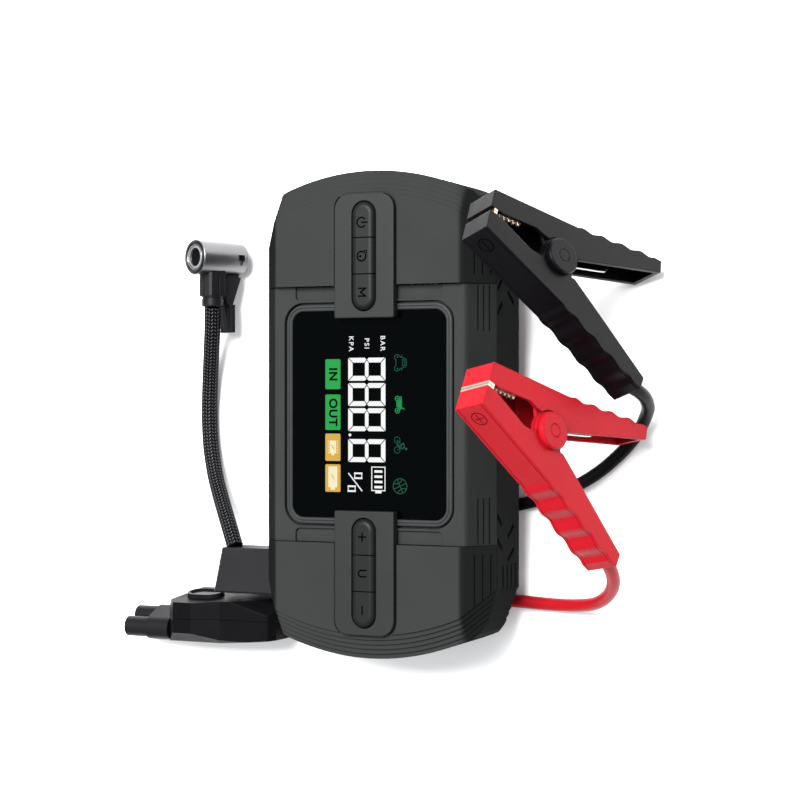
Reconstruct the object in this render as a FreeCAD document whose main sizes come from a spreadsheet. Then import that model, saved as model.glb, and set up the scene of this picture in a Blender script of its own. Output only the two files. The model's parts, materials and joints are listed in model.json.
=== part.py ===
import FreeCAD, Part

import math
import os

import Sketcher
from FreeCAD import Placement, Rotation, Vector

# Jump starter pack with a built-in tyre inflator, lying on its back on a flat surface.
# +X runs along the housing towards its plus/minus buttons, +Y towards the battery clamps, +Z up.
# The origin is on the surface under the middle of the housing.

doc = FreeCAD.newDocument("jump_starter_pack")
sheet = doc.addObject("Spreadsheet::Sheet", "Dim")

DIMENSIONS = {
    "half_length": 101.0,       # housing, middle to end
    "band_half": 53.4,          # the middle band between the two end caps
    "wall": 2.4,                # shell thickness
    "front_top": 53.0,          # face of the middle band
    "cap_top": 55.5,            # face of the end caps
    "seam_level": 41.0,         # joint between the front parts and the rear shell
    "under_level": 7.0,         # underside of the rear shell
    "side_half": 52.7,          # half width at the joint
    "front_half": 43.0,         # half width of the flat front
    "end_radius": 105.0,        # arc of the housing's ends
    "step_count": 5.0,          # stair steps at each end
    "step_run": 2.0,            # each step along the housing
    "step_inset": 0.8,          # each step into the section
    "glass_length": 86.0,
    "glass_width": 70.0,
    "glass_corner": 5.0,
    "glass_thick": 1.6,
    "glass_top": 52.4,
    "bezel_ring": 2.8,
    "bridge_width": 27.0,
    "bridge_inner": 39.8,
    "bridge_outer": 91.0,
    "bridge_bottom": 53.1,
    "bridge_top": 57.0,
    "strip_width": 10.5,
    "strip_inner": 42.8,
    "strip_outer": 87.8,
    "button_top": 58.4,
    "button_bottom": 54.1,
    "button_gap": 0.35,
    "plunger_radius": 1.5,
    "plunger_low": 49.9,
    "board_thick": 1.6,
    "foot_radius": 7.0,
    "foot_x": 58.0,
    "foot_y": 30.0,
    "screw_x": 80.0,
    "screw_y": 37.0,
    "cell_length": 70.0,
    "cell_width": 52.0,
    "cell_thick": 8.4,
    "crank_y": 18.0,
    "crank_z": 25.0,
    "crank_throw": 3.5,
    "crank_pin_radius": 2.5,
    "motor_radius": 13.5,
    "motor_length": 36.0,
    "piston_radius": 8.45,
    "bore_radius": 8.5,
    "cylinder_x": 57.0,
    "hose_radius": 3.5,
    "lead_radius": 2.75,
    "clamp_half_width": 7.3,
    "clamp_wall": 1.6,
    "nose_reach": 37.0,
    "nose_height": 9.3,
    "handle_reach": 51.5,
    "handle_outer": 32.0,
    "handle_inner": 26.4,
    "pivot_disc": 7.5,
    "pivot_pin": 2.0,
    "chuck_mouth": 7.8,         # chuck barrel radius at its mouth
    "chuck_tail": 7.2,          # and at its lever end
    "chuck_half": 12.6,
    "valve_radius": 4.1,
}
for row_number, (alias, value) in enumerate(DIMENSIONS.items(), start=1):
    sheet.set(f"A{row_number}", alias)
    sheet.set(f"B{row_number}", str(value))
    sheet.setAlias(f"B{row_number}", alias)
doc.recompute()
D = {alias: float(sheet.get(alias)) for alias in DIMENSIONS}

EPS = 0.15                      # gap between touching housing parts
NODES = []


# ---------------------------------------------------------------- parametric helpers

def bind(obj, properties):
    """Bind each property of the object to its expression over the sheet."""
    for name, expression in properties.items():
        obj.setExpression(name, expression)
    return obj


def place(obj, x="0", y="0", z="0"):
    return bind(obj, {"Placement.Base.x": f"({x}) * 1 mm",
                      "Placement.Base.y": f"({y}) * 1 mm",
                      "Placement.Base.z": f"({z}) * 1 mm"})


def box(name, size, middle_x, middle_y, bottom):
    """A block centred on (middle_x, middle_y) standing on the level bottom."""
    obj = doc.addObject("Part::Box", name)
    length, width, height = size
    bind(obj, {"Length": f"({length}) * 1 mm", "Width": f"({width}) * 1 mm", "Height": f"({height}) * 1 mm"})
    return place(obj, f"({middle_x}) - ({length}) / 2", f"({middle_y}) - ({width}) / 2", bottom)


def cylinder(name, radius, height, x="0", y="0", z="0", along="Z"):
    obj = doc.addObject("Part::Cylinder", name)
    turns = {"Z": Rotation(), "X": Rotation(Vector(0, 1, 0), 90), "Y": Rotation(Vector(1, 0, 0), -90)}
    obj.Placement = Placement(Vector(), turns[along])
    bind(obj, {"Radius": f"({radius}) * 1 mm", "Height": f"({height}) * 1 mm"})
    return place(obj, x, y, z)


def cut(name, base, tools):
    tool = tools[0]
    if len(tools) > 1:
        tool = fuse(name + "_tools", tools)
    obj = doc.addObject("Part::Cut", name)
    obj.Base = base
    obj.Tool = tool
    return obj


def fuse(name, shapes):
    obj = doc.addObject("Part::MultiFuse", name)
    obj.Shapes = shapes
    return obj


def rounded(name, base, radius, along):
    """Round the straight edges of a block that run along one direction."""
    doc.recompute()
    direction = {"X": Vector(1, 0, 0), "Y": Vector(0, 1, 0), "Z": Vector(0, 0, 1)}[along]
    edges = []
    for number, edge in enumerate(base.Shape.Edges, start=1):
        if edge.Curve.TypeId == "Part::GeomLine" and abs(edge.tangentAt(edge.FirstParameter).dot(direction)) > 0.999:
            edges.append((number, radius, radius))
    obj = doc.addObject("Part::Fillet", name)
    obj.Base = base
    obj.Edges = edges
    return obj


def node(obj, label):
    """Declare the object as a sub-part: its label names its file."""
    obj.Label = label
    NODES.append(obj)
    return obj


def shaped(label, shape, placement=None):
    """A sub-part whose shape is worked out from the sheet's sizes in code."""
    obj = doc.addObject("Part::Feature", label)
    obj.Shape = shape
    obj.Placement = placement or Placement()
    return node(obj, label)


def sketch_on(body, role, name):
    sketch = body.newObject("Sketcher::SketchObject", name)
    plane = next(item for item in body.Origin.OriginFeatures if item.Role == role)
    sketch.AttachmentSupport = [(plane, "")]
    sketch.MapMode = "FlatFace"
    return sketch


def add_circle(sketch, expression):
    index = sketch.addGeometry(Part.Circle(Vector(), Vector(0, 0, 1), 1.0))
    number = sketch.addConstraint(Sketcher.Constraint("Radius", index, 1.0))
    sketch.setExpression(f"Constraints[{number}]", f"({expression}) * 1 mm")
    sketch.addConstraint(Sketcher.Constraint("Coincident", index, 3, -1, 1))


def pad(body, sketch, name, length):
    feature = body.newObject("PartDesign::Pad", name)
    feature.Profile = sketch
    feature.setExpression("Length", f"({length}) * 1 mm")
    return feature


def round_body(label, rings):
    """A turned piece as a PartDesign body: stacked rings of (radius, length, inner radius or None)."""
    body = doc.addObject("PartDesign::Body", label)
    level = "0"
    for number, (radius, length, inner) in enumerate(rings):
        sketch = sketch_on(body, "XY_Plane", f"{label}_ring{number}")
        sketch.setExpression("AttachmentOffset.Base.z", f"({level}) * 1 mm")
        add_circle(sketch, radius)
        if inner:
            add_circle(sketch, inner)
        body.Tip = pad(body, sketch, f"{label}_pad{number}", length)
        level = f"{level} + ({length})"
    return body


# ---------------------------------------------------------------- shape helpers

def prism(points, direction):
    wire = Part.makePolygon([Vector(*p) for p in points] + [Vector(*points[0])])
    return Part.Face(wire).extrude(Vector(*direction))


def block(x0, x1, y0, y1, z0, z1):
    return Part.makeBox(x1 - x0, y1 - y0, z1 - z0, Vector(x0, y0, z0))


def rounded_slab(half_x, half_y, corner, z0, z1, x=0.0, y=0.0):
    """A plate with rounded corners, centred on (x, y)."""
    slab = block(x - half_x, x + half_x, y - half_y, y + half_y, z0, z1)
    upright = [e for e in slab.Edges if abs(e.tangentAt(0).z) > 0.999]
    return slab.makeFillet(corner, upright)


def rod(radius, start, direction, length):
    return Part.makeCylinder(radius, length, Vector(*start), Vector(*direction))


def corner_arc(before, corner, after, radius):
    """First, middle and last point of the arc that rounds a corner between two straight runs."""
    into = (corner - before).normalize()
    out = (after - corner).normalize()
    turn = into.getAngle(out)
    back = radius * math.tan(turn / 2)
    inward = (out - into).normalize()
    middle = corner + inward * (radius / math.cos(turn / 2) - radius)
    return corner - into * back, middle, corner + out * back


def front_edge(kind):
    """Half width of the flat front, its level, and the radius where it turns into the sloping side."""
    if kind == "band":
        return D["front_half"], D["front_top"], 1.2
    return D["front_half"] - 0.8, D["cap_top"], 4.0


def section_face(kind, inset):
    """Housing section across Y and Z. Kind is band, cap or rear."""
    side = D["side_half"] - inset
    low = D["under_level"] + inset
    seam = D["seam_level"]
    curve = 11.0
    if kind == "rear":
        right = [Vector(0, side, seam), Vector(0, side, low + curve)]
        mid = Vector(0, side - curve * 0.293, low + curve * 0.293)
        bottom = Vector(0, side - curve, low)
        edges = [
            Part.makeLine(right[0], right[1]),
            Part.Arc(right[1], mid, bottom).toShape(),
            Part.makeLine(bottom, Vector(0, -bottom.y, low)),
            Part.Arc(Vector(0, -bottom.y, low), Vector(0, -mid.y, mid.z), Vector(0, -side, right[1].z)).toShape(),
            Part.makeLine(Vector(0, -side, right[1].z), Vector(0, -side, seam)),
            Part.makeLine(Vector(0, -side, seam), right[0]),
        ]
        return Part.Face(Part.Wire(edges))
    flat, top, edge_radius = front_edge(kind)
    flat -= inset * 0.6
    top -= inset
    first, middle, last = corner_arc(Vector(0, 0, top), Vector(0, flat, top), Vector(0, side, seam), edge_radius)
    edges = [
        Part.makeLine(Vector(0, -first.y, top), first),
        Part.Arc(first, middle, last).toShape(),
        Part.makeLine(last, Vector(0, side, seam)),
        Part.makeLine(Vector(0, side, seam), Vector(0, -side, seam)),
        Part.makeLine(Vector(0, -side, seam), Vector(0, -last.y, last.z)),
        Part.Arc(Vector(0, -last.y, last.z), Vector(0, -middle.y, middle.z), Vector(0, -first.y, top)).toShape(),
    ]
    return Part.Face(Part.Wire(edges))


def plan_solid(reach):
    """Housing outline seen from above: arched ends with bevelled corners, reaching +-reach."""
    side = D["side_half"] + 2.0
    corner_y = D["front_half"] - 1.0
    rise = D["end_radius"] - math.sqrt(D["end_radius"] ** 2 - corner_y ** 2)
    corner_x = reach - rise
    bevel_x = corner_x - 11.0 * (side - corner_y) / (D["side_half"] - corner_y)
    outline = []
    for sign in (1, -1):
        outline += [
            Part.makeLine(Vector(sign * bevel_x, -sign * side, 0), Vector(sign * corner_x, -sign * corner_y, 0)),
            Part.Arc(Vector(sign * corner_x, -sign * corner_y, 0), Vector(sign * reach, 0, 0),
                     Vector(sign * corner_x, sign * corner_y, 0)).toShape(),
            Part.makeLine(Vector(sign * corner_x, sign * corner_y, 0), Vector(sign * bevel_x, sign * side, 0)),
            Part.makeLine(Vector(sign * bevel_x, sign * side, 0), Vector(-sign * bevel_x, sign * side, 0)),
        ]
    face = Part.Face(Part.Wire(outline))
    return face.extrude(Vector(0, 0, D["cap_top"] + 5.0))


def housing(kind):
    """The stepped outer solid of the caps or of the rear shell, full length."""
    steps = int(D["step_count"])
    solid = None
    for step in range(steps + 1):
        reach = D["half_length"] - (steps - step) * D["step_run"]
        slab = section_face(kind, step * D["step_inset"]).extrude(Vector(2 * reach, 0, 0))
        slab.translate(Vector(-reach, 0, 0))
        piece = slab.common(plan_solid(reach))
        solid = piece if solid is None else solid.fuse(piece)
    return solid.removeSplitter()


def cavity(kind):
    """The hollow inside: full height between the steps, lower where it runs into them."""
    run = D["step_count"] * D["step_run"]
    solid = None
    for reach, inset in ((D["half_length"] - run - D["wall"], D["wall"]),
                         (D["half_length"] - D["wall"], D["wall"] + D["step_count"] * D["step_inset"])):
        slab = section_face(kind, inset).extrude(Vector(2 * reach, 0, 0))
        slab.translate(Vector(-reach, 0, 0))
        piece = slab.common(plan_solid(reach))
        solid = piece if solid is None else solid.fuse(piece)
    return solid


def side_grooves(x0, x1, levels, depth=1.0, width=1.9):
    """Straight grooves along the rear shell's upright walls, on both sides, at the given levels."""
    wall = D["side_half"]
    return [block(x0, x1, sign * wall - depth, sign * wall + depth, z - width / 2, z + width / 2)
            for sign in (1, -1) for z in levels]


def slope_groove(kind, share, x0, x1, depth=0.7, width=0.9):
    """A groove along both sloping sides of the front; share 0 is the front's edge and 1 the joint."""
    flat, top, _ = front_edge(kind)
    run = Vector(0, D["side_half"] - flat, D["seam_level"] - top)
    place_on_slope = Vector(0, flat, top) + run * share
    lean = math.degrees(math.atan2(run.z, run.y))
    grooves = []
    for sign in (1, -1):
        groove = block(x0, x1, -width / 2, width / 2, -depth, depth)
        groove.rotate(Vector(), Vector(1, 0, 0), sign * lean)
        groove.translate(Vector(0, sign * place_on_slope.y, place_on_slope.z))
        grooves.append(groove)
    return grooves


def arrow_strokes(sign, start_x):
    """The two strokes of one arrow notch on both side walls: a short upper one and a longer lower one."""
    depth = 1.3
    width = 2.2
    wall = D["side_half"]
    strokes = []
    for (xa, za), (xb, zb) in (((0.0, 40.5), (4.7, 35.2)), ((4.9, 21.6), (9.7, 29.0))):
        length = math.hypot(xb - xa, zb - za)
        angle = math.degrees(math.atan2(zb - za, xb - xa))
        for side in (1, -1):
            stroke = block(0, length, side * wall - depth, side * wall + depth, -width / 2, width / 2)
            stroke.rotate(Vector(), Vector(0, 1, 0), -angle)
            stroke.translate(Vector(start_x + xa, 0, za))
            if sign < 0:
                stroke = stroke.mirror(Vector(), Vector(1, 0, 0))
            strokes.append(stroke)
    return strokes


# ---------------------------------------------------------------- housing

FOOT_PLACES = [(sx * D["foot_x"], sy * D["foot_y"]) for sx in (1, -1) for sy in (1, -1)]
SCREW_PLACES = [(sx * D["screw_x"], sy * D["screw_y"]) for sx in (1, -1) for sy in (1, -1)]
SCREW_HEAD_RADIUS = 3.0
SCREW_RADIUS = 1.5
BOSS_RADIUS = 4.0
HEAD_LEVEL = D["under_level"] + 2.2


def make_rear_shell():
    shell = housing("rear").cut(cavity("rear"))
    seat = D["under_level"] + D["wall"]
    bosses = [rod(BOSS_RADIUS, (x, y, seat - 0.6), (0, 0, 1), 39.5 - seat) for x, y in SCREW_PLACES]
    shell = shell.fuse(bosses)
    tools = [rod(SCREW_RADIUS + 0.1, (x, y, 0), (0, 0, 1), 60) for x, y in SCREW_PLACES]
    tools += [rod(SCREW_HEAD_RADIUS + 0.3, (x, y, 0), (0, 0, 1), HEAD_LEVEL) for x, y in SCREW_PLACES]
    tools += [rod(D["foot_radius"] - 1.9, (x, y, 0), (0, 0, 1), D["under_level"] + 1.0) for x, y in FOOT_PLACES]
    side = D["side_half"]
    # rib groups near the ends and two arrow notches beside each
    for sign in (1, -1):
        x0, x1 = sorted((sign * 62.0, sign * 88.5))
        tools += side_grooves(x0, x1, (34.2, 29.4, 24.6, 20.0))
        for start_x in (41.1, 50.9):
            tools += arrow_strokes(sign, start_x)
    # openings in the -Y wall: jump socket, USB ports and the hose outlet
    tools.append(block(18.0, 46.0, -side - 3, -side + 4, 17.5, 32.5))
    tools.append(block(-6.0, 14.0, -side - 3, -side + 4, 17.5, 32.5))
    tools.append(rod(3.2, (70.0, -side - 3, D["crank_z"]), (0, 1, 0), 14.0))
    shell = shell.cut(tools)
    lid = block(-120, 120, -80, 80, D["seam_level"] - EPS, 90)
    return shell.cut(lid)


def display_window(z0, z1):
    grow = D["bezel_ring"] + 0.9
    return rounded_slab(D["glass_length"] / 2 + grow, D["glass_width"] / 2 + grow,
                        D["glass_corner"] + grow, z0, z1)


def plunger_x(slot):
    """Middle of one of the three button places along a strip, counted from the display."""
    pitch = (D["strip_outer"] - D["strip_inner"]) / 3.0
    return D["strip_inner"] + pitch * (slot + 0.5)


def plunger_holes():
    return [rod(D["plunger_radius"] + 0.3, (sign * plunger_x(slot), 0, 40), (0, 0, 1), 30)
            for sign in (1, -1) for slot in range(3)]


def make_front_shell():
    reach = D["band_half"] - EPS
    outer = section_face("band", 0.0).extrude(Vector(2 * reach, 0, 0))
    outer.translate(Vector(-reach, 0, 0))
    inner = section_face("band", D["wall"]).extrude(Vector(2 * reach + 2, 0, 0))
    inner.translate(Vector(-reach - 1, 0, 0))
    tools = [inner, display_window(45, 60)] + plunger_holes()
    # three short grooves beside each cap, and the shallow tab recesses beside each tongue
    for sign in (1, -1):
        x0, x1 = sorted((sign * 34.0, sign * 52.6))
        for share in (0.43, 0.60, 0.78):
            tools += slope_groove("band", share, x0, x1)
        for side in (1, -1):
            recess = block(47.6, 60.0, 13.0, 33.5, D["front_top"] - 1.1, D["front_top"] + 2)
            corner = [e for e in recess.Edges if e.BoundBox.XMax < 47.7 and e.BoundBox.YMin > 33.4
                      and e.BoundBox.ZLength > 1]
            recess = recess.makeFillet(2.0, corner)
            if side < 0:
                recess = recess.mirror(Vector(), Vector(0, 1, 0))
            if sign < 0:
                recess = recess.mirror(Vector(), Vector(1, 0, 0))
            tools.append(recess)
    return outer.cut(tools)


def tongue_slab(sign, inner, outer, half_width, z0, z1):
    """Outline of the tongue: nearly square at the display, well rounded at the housing's end."""
    slab = block(inner, outer, -half_width, half_width, z0, z1)
    upright = [e for e in slab.Edges if e.BoundBox.ZLength > 1 and e.BoundBox.XMin > outer - 0.1]
    slab = slab.makeFillet(6.5, upright)
    square = [e for e in slab.Edges if e.BoundBox.ZLength > 1 and e.BoundBox.XMax < inner + 0.1]
    slab = slab.makeFillet(0.7, square)
    if sign < 0:
        slab = slab.mirror(Vector(), Vector(1, 0, 0))
    return slab


def make_end_cap(sign):
    cap = housing("cap").cut(cavity("cap"))
    reach = D["half_length"] + 5
    x0, x1 = sorted((sign * D["band_half"], sign * reach))
    cap = cap.common(block(x0, x1, -80, 80, D["seam_level"], 90))
    bosses = [rod(BOSS_RADIUS, (sign * D["screw_x"], sy * D["screw_y"], D["seam_level"] + 0.2), (0, 0, 1), 11.6)
              for sy in (1, -1)]
    cap = cap.fuse(bosses)
    half_width = D["bridge_width"] / 2
    inner = D["band_half"] - 2
    margin = 0.8
    tools = [tongue_slab(sign, inner, D["bridge_outer"] + EPS, half_width + EPS, D["bridge_bottom"] - 0.1, 70),
             tongue_slab(sign, inner, D["bridge_outer"] + margin, half_width + margin, D["cap_top"] - 0.9, 70)]
    tools += plunger_holes()
    tools += [rod(SCREW_RADIUS + 0.1, (sign * D["screw_x"], sy * D["screw_y"], 30), (0, 0, 1), 20) for sy in (1, -1)]
    for share, end in ((0.40, 89.5), (0.62, 87.5), (0.84, 85.5)):
        x0, x1 = sorted((sign * 57.0, sign * end))
        tools += slope_groove("cap", share, x0, x1)
    return cap.cut(tools)


def strip_prism(half_width, x_inner, x_outer, z0, z1, sign):
    """A slot outline with round ends along X."""
    x0, x1 = sorted((sign * x_inner, sign * x_outer))
    middle = (x0 + x1) / 2
    return rounded_slab((x1 - x0) / 2, half_width, half_width - 0.01, z0, z1, middle)


def make_bridge(sign):
    """The raised tongue that carries three buttons and laps over the glass."""
    plate = tongue_slab(sign, D["bridge_inner"], D["bridge_outer"], D["bridge_width"] / 2,
                        D["bridge_bottom"], D["bridge_top"])
    top_edges = [e for e in plate.Edges if e.BoundBox.ZMin > D["bridge_top"] - 0.01]
    plate = plate.makeFillet(0.5, top_edges)
    gap = D["button_gap"]
    slot = strip_prism(D["strip_width"] / 2 + gap, D["strip_inner"] - gap, D["strip_outer"] + gap, 50, 70, sign)
    return plate.cut(slot)


def make_button(sign, slot):
    """One third of the button strip, with its plunger down to the switch."""
    pitch = (D["strip_outer"] - D["strip_inner"]) / 3.0
    near = D["strip_inner"] + pitch * slot
    split = 0.2
    half = D["strip_width"] / 2
    strip = strip_prism(half, D["strip_inner"], D["strip_outer"], D["button_bottom"], D["button_top"], sign)
    top_edges = [e for e in strip.Edges if e.BoundBox.ZMin > D["button_top"] - 0.01]
    strip = strip.makeFillet(2.4, top_edges)
    x0, x1 = sorted((sign * (near + split), sign * (near + pitch - split)))
    cap = strip.common(block(x0, x1, -half - 1, half + 1, 40, 70))
    length = D["button_bottom"] - D["plunger_low"] + 0.5
    stem = rod(D["plunger_radius"], (sign * plunger_x(slot), 0, D["plunger_low"]), (0, 0, 1), length)
    return cap.fuse(stem).removeSplitter()


shaped("rear_shell", make_rear_shell())
shaped("front_shell", make_front_shell())
for cap_name, cap_sign in (("end_cap_left", -1), ("end_cap_right", 1)):
    shaped(cap_name, make_end_cap(cap_sign))
for bridge_name, bridge_sign in (("button_bridge_left", -1), ("button_bridge_right", 1)):
    shaped(bridge_name, make_bridge(bridge_sign))
BUTTONS = {
    "button_power": (-1, 2), "button_timer": (-1, 1), "button_mode": (-1, 0),
    "button_plus": (1, 0), "button_unit": (1, 1), "button_minus": (1, 2),
}
for button_name, (button_sign, button_slot) in BUTTONS.items():
    shaped(button_name, make_button(button_sign, button_slot))


# ---------------------------------------------------------------- display

def make_bezel():
    half_x = D["glass_length"] / 2
    half_y = D["glass_width"] / 2
    ring = D["bezel_ring"]
    corner = D["glass_corner"]
    top = D["front_top"]
    glass_low = D["glass_top"] - D["glass_thick"]
    body = rounded_slab(half_x + ring, half_y + ring, corner + ring, glass_low - 1.2, top)
    bevel = [e for e in body.Edges if e.BoundBox.ZMin > top - 0.01]
    body = body.makeFillet(0.7, bevel)
    flange = rounded_slab(half_x + ring + 2.0, half_y + ring + 2.0, corner + ring, glass_low - 1.2, glass_low - 0.4)
    pocket = rounded_slab(half_x + 0.1, half_y + 0.1, corner + 0.1, glass_low, 60)
    through = rounded_slab(half_x - 2.0, half_y - 2.0, corner - 1.0, 40, 60)
    line = rounded_slab(half_x + 1.65, half_y + 1.65, corner + 1.65, top - 0.35, 60)
    line = line.cut(rounded_slab(half_x + 1.3, half_y + 1.3, corner + 1.3, top - 1, 60))
    body = body.fuse(flange).cut([pocket, through, line] + plunger_holes())
    lip = [e for e in body.Edges if e.BoundBox.ZMin > top - 0.01 and e.BoundBox.XMax < half_x + 0.2
           and e.BoundBox.XMin > -half_x - 0.2 and e.BoundBox.YMax < half_y + 0.2 and e.BoundBox.YMin > -half_y - 0.2]
    return body.makeChamfer(0.4, lip)


shaped("display_bezel", make_bezel())
lens_block = box("lens_block", ("Dim.glass_length", "Dim.glass_width", "Dim.glass_thick"),
                 "0", "0", "Dim.glass_top - Dim.glass_thick")
node(rounded("lens_rounded", lens_block, D["glass_corner"], "Z"), "display_lens")
node(box("panel_block", ("Dim.glass_length - 6", "Dim.glass_width - 6", "2.6"), "0", "0",
         "Dim.glass_top - Dim.glass_thick - 3.9"), "display_panel")


# ---------------------------------------------------------------- electronics and battery

board = box("board_plate", ("96", "78", "Dim.board_thick"), "0", "0", "42.4")
chip_places = ((-30, -22, 12), (-8, 20, 9), (22, -15, 14), (34, 22, 8))
chips = [box(f"board_chip{i}", (str(side), str(side), "1.4"), str(x), str(y), "42.4 + Dim.board_thick - 0.1")
         for i, (x, y, side) in enumerate(chip_places)]
node(fuse("board_fused", [board] + chips), "main_board")


def make_button_boards():
    shapes = []
    for sign in (1, -1):
        x0, x1 = sorted((sign * 52.0, sign * 86.0))
        plate = block(x0, x1, -9, 9, 44.6, 46.2)
        tongue = block(min(sign * 46.8, sign * 53), max(sign * 46.8, sign * 53), -6, 6, 44.6, 46.2)
        switches = [block(sign * plunger_x(s) - 3, sign * plunger_x(s) + 3, -3, 3, 46.1, 48.0) for s in range(3)]
        domes = [rod(1.6, (sign * plunger_x(s), 0, 47.9), (0, 0, 1), 1.0) for s in range(3)]
        shapes.append(plate.fuse([tongue] + switches + domes).removeSplitter())
    return Part.Compound(shapes)


shaped("button_boards", make_button_boards())

cell_group = []
for layer in range(3):
    cell = box(f"cell_{layer}", ("Dim.cell_length", "Dim.cell_width", "Dim.cell_thick"), "-38", "0",
               f"11.9 + {layer} * (Dim.cell_thick + 0.5)")
    cell_group.append(rounded(f"cell_{layer}_round", cell, 2.5, "X"))
compound = doc.addObject("Part::Compound", "cells")
compound.Links = cell_group
node(compound, "battery_cells")
tray_outer = box("tray_outer", ("Dim.cell_length + 4", "Dim.cell_width + 4", "16"), "-38", "0", "10")
tray_inner = box("tray_inner", ("Dim.cell_length + 0.8", "Dim.cell_width + 0.8", "20"), "-38", "0", "11.6")
node(cut("tray_cut", tray_outer, [tray_inner]), "battery_tray")


# ---------------------------------------------------------------- compressor

FRAME_LOW = 9.6
UPRIGHT_X = 44.6
UPRIGHT_THICK = 2.0


def make_compressor_frame():
    y = D["crank_y"]
    z = D["crank_z"]
    base = block(7, 66, -37, 34, FRAME_LOW, FRAME_LOW + 1.8)
    upright = block(UPRIGHT_X, UPRIGHT_X + UPRIGHT_THICK, y - 15, y + 15, FRAME_LOW, 39.5)
    cradle = block(12, 38, y - 10, y + 10, FRAME_LOW, z - 9.0)
    saddle = block(D["cylinder_x"] - 8, D["cylinder_x"] + 8, -34, -14, FRAME_LOW, z - 9.0)
    holes = [
        rod(2.6, (UPRIGHT_X - 1, y, z), (1, 0, 0), 5),
        rod(D["motor_radius"] + 0.05, (7, y, z), (1, 0, 0), UPRIGHT_X - 7),
        rod(10.55, (D["cylinder_x"], -36, z), (0, 1, 0), 30),
    ]
    return base.fuse([upright, cradle, saddle]).cut(holes).removeSplitter()


def make_crank():
    """Counterweighted disc with its shaft and the offset pin that carries the rod."""
    y = D["crank_y"]
    z = D["crank_z"]
    disc = rod(9.5, (48.0, y, z), (1, 0, 0), 4.0)
    weight = rod(9.5, (52.0, y, z), (1, 0, 0), 1.6).common(block(50, 60, y - 12, y - 3.5, z - 12, z + 12))
    shaft = rod(1.6, (UPRIGHT_X + 0.1, y, z), (1, 0, 0), 4.0)
    pin = rod(D["crank_pin_radius"], (51.9, y + D["crank_throw"], z), (1, 0, 0), 8.0)
    return disc.fuse([weight, shaft, pin]).removeSplitter()


ROD_X0 = 54.6
ROD_THICK = 4.8
PISTON_BACK = -12.0             # open end of the piston at bottom dead centre
PISTON_CUP = 10.2
PISTON_LENGTH = 13.0


def make_connecting_rod():
    y = D["crank_y"] + D["crank_throw"]
    z = D["crank_z"]
    big_end = rod(4.6, (ROD_X0, y, z), (1, 0, 0), ROD_THICK)
    small_end = rod(2.4, (ROD_X0, PISTON_BACK + 0.8, z), (1, 0, 0), ROD_THICK)
    shank = block(ROD_X0, ROD_X0 + ROD_THICK, PISTON_BACK + 0.8, y, z - 1.7, z + 1.7)
    hole = rod(D["crank_pin_radius"] + 0.05, (ROD_X0 - 1, y, z), (1, 0, 0), ROD_THICK + 2)
    return big_end.fuse([small_end, shank]).cut(hole).removeSplitter()


def make_piston():
    x = D["cylinder_x"]
    z = D["crank_z"]
    body = rod(D["piston_radius"], (x, PISTON_BACK, z), (0, -1, 0), PISTON_LENGTH)
    cup = rod(D["piston_radius"] - 1.0, (x, PISTON_BACK + 1, z), (0, -1, 0), PISTON_CUP + 1)
    groove = rod(D["piston_radius"] + 1, (x, PISTON_BACK - 11.0, z), (0, -1, 0), 1.0)
    groove = groove.cut(rod(D["piston_radius"] - 0.7, (x, PISTON_BACK - 10, z), (0, -1, 0), 4))
    return body.cut([cup, groove])


shaped("compressor_frame", make_compressor_frame())
motor = round_body("motor_body", [("Dim.motor_radius", "Dim.motor_length - 4", None), ("6", "4 - 0.2", None)])
motor.Placement = Placement(Vector(8.2, 0, 0), Rotation(Vector(0, 1, 0), 90))
node(place(motor, "8.2", "Dim.crank_y", "Dim.crank_z"), "motor_can")
shaped("crank_disc", make_crank())
shaped("connecting_rod", make_connecting_rod())
shaped("piston", make_piston())
sleeve = cylinder("sleeve", "10.5", "26", "Dim.cylinder_x", "-36", "Dim.crank_z", "Y")
sleeve_bore = cylinder("sleeve_bore", "Dim.bore_radius", "40", "Dim.cylinder_x", "-40", "Dim.crank_z", "Y")
node(cut("sleeve_cut", sleeve, [sleeve_bore]), "cylinder")
head_disc = cylinder("head_disc", "10.5", "3.5", "Dim.cylinder_x", "-39.6", "Dim.crank_z", "Y")
head_elbow = box("head_elbow", ("19", "4", "8"), "Dim.cylinder_x + 7.5", "-41.4", "Dim.crank_z - 4")
head_nipple = cylinder("head_nipple", "2.6", "13.5", "70", "-56.5", "Dim.crank_z", "Y")
node(fuse("head_fused", [head_disc, head_elbow, head_nipple]), "cylinder_head")


# ---------------------------------------------------------------- sockets and their cover

SIDE = D["side_half"]
PLUG_PITCH = 9.6                # between the two contacts of the plug and of its socket


def make_jump_socket():
    body = block(18.2, 45.8, -SIDE + 0.2, -SIDE + 18, 17.7, 32.3)
    recess = block(21.8, 42.2, -SIDE - 1, -SIDE + 14, 20.0, 30.0)
    return body.cut(recess)


def make_socket_pins():
    pins = [rod(2.7, (32 + sx * PLUG_PITCH / 2, -SIDE + 14.0, 25), (0, -1, 0), 11.0) for sx in (1, -1)]
    return Part.Compound(pins)


def make_usb_ports():
    body = block(-5.8, 13.8, -SIDE + 0.2, -SIDE + 16, 17.7, 32.3)
    ports = [block(-2.6, 10.6, -SIDE - 1, -SIDE + 12, 18.9, 24.0), block(-0.6, 8.6, -SIDE - 1, -SIDE + 9, 27.0, 31.1)]
    return body.cut(ports)


COVER_HINGE_Z = 36.2
COVER_HINGE_Y = -SIDE - 1.4


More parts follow.
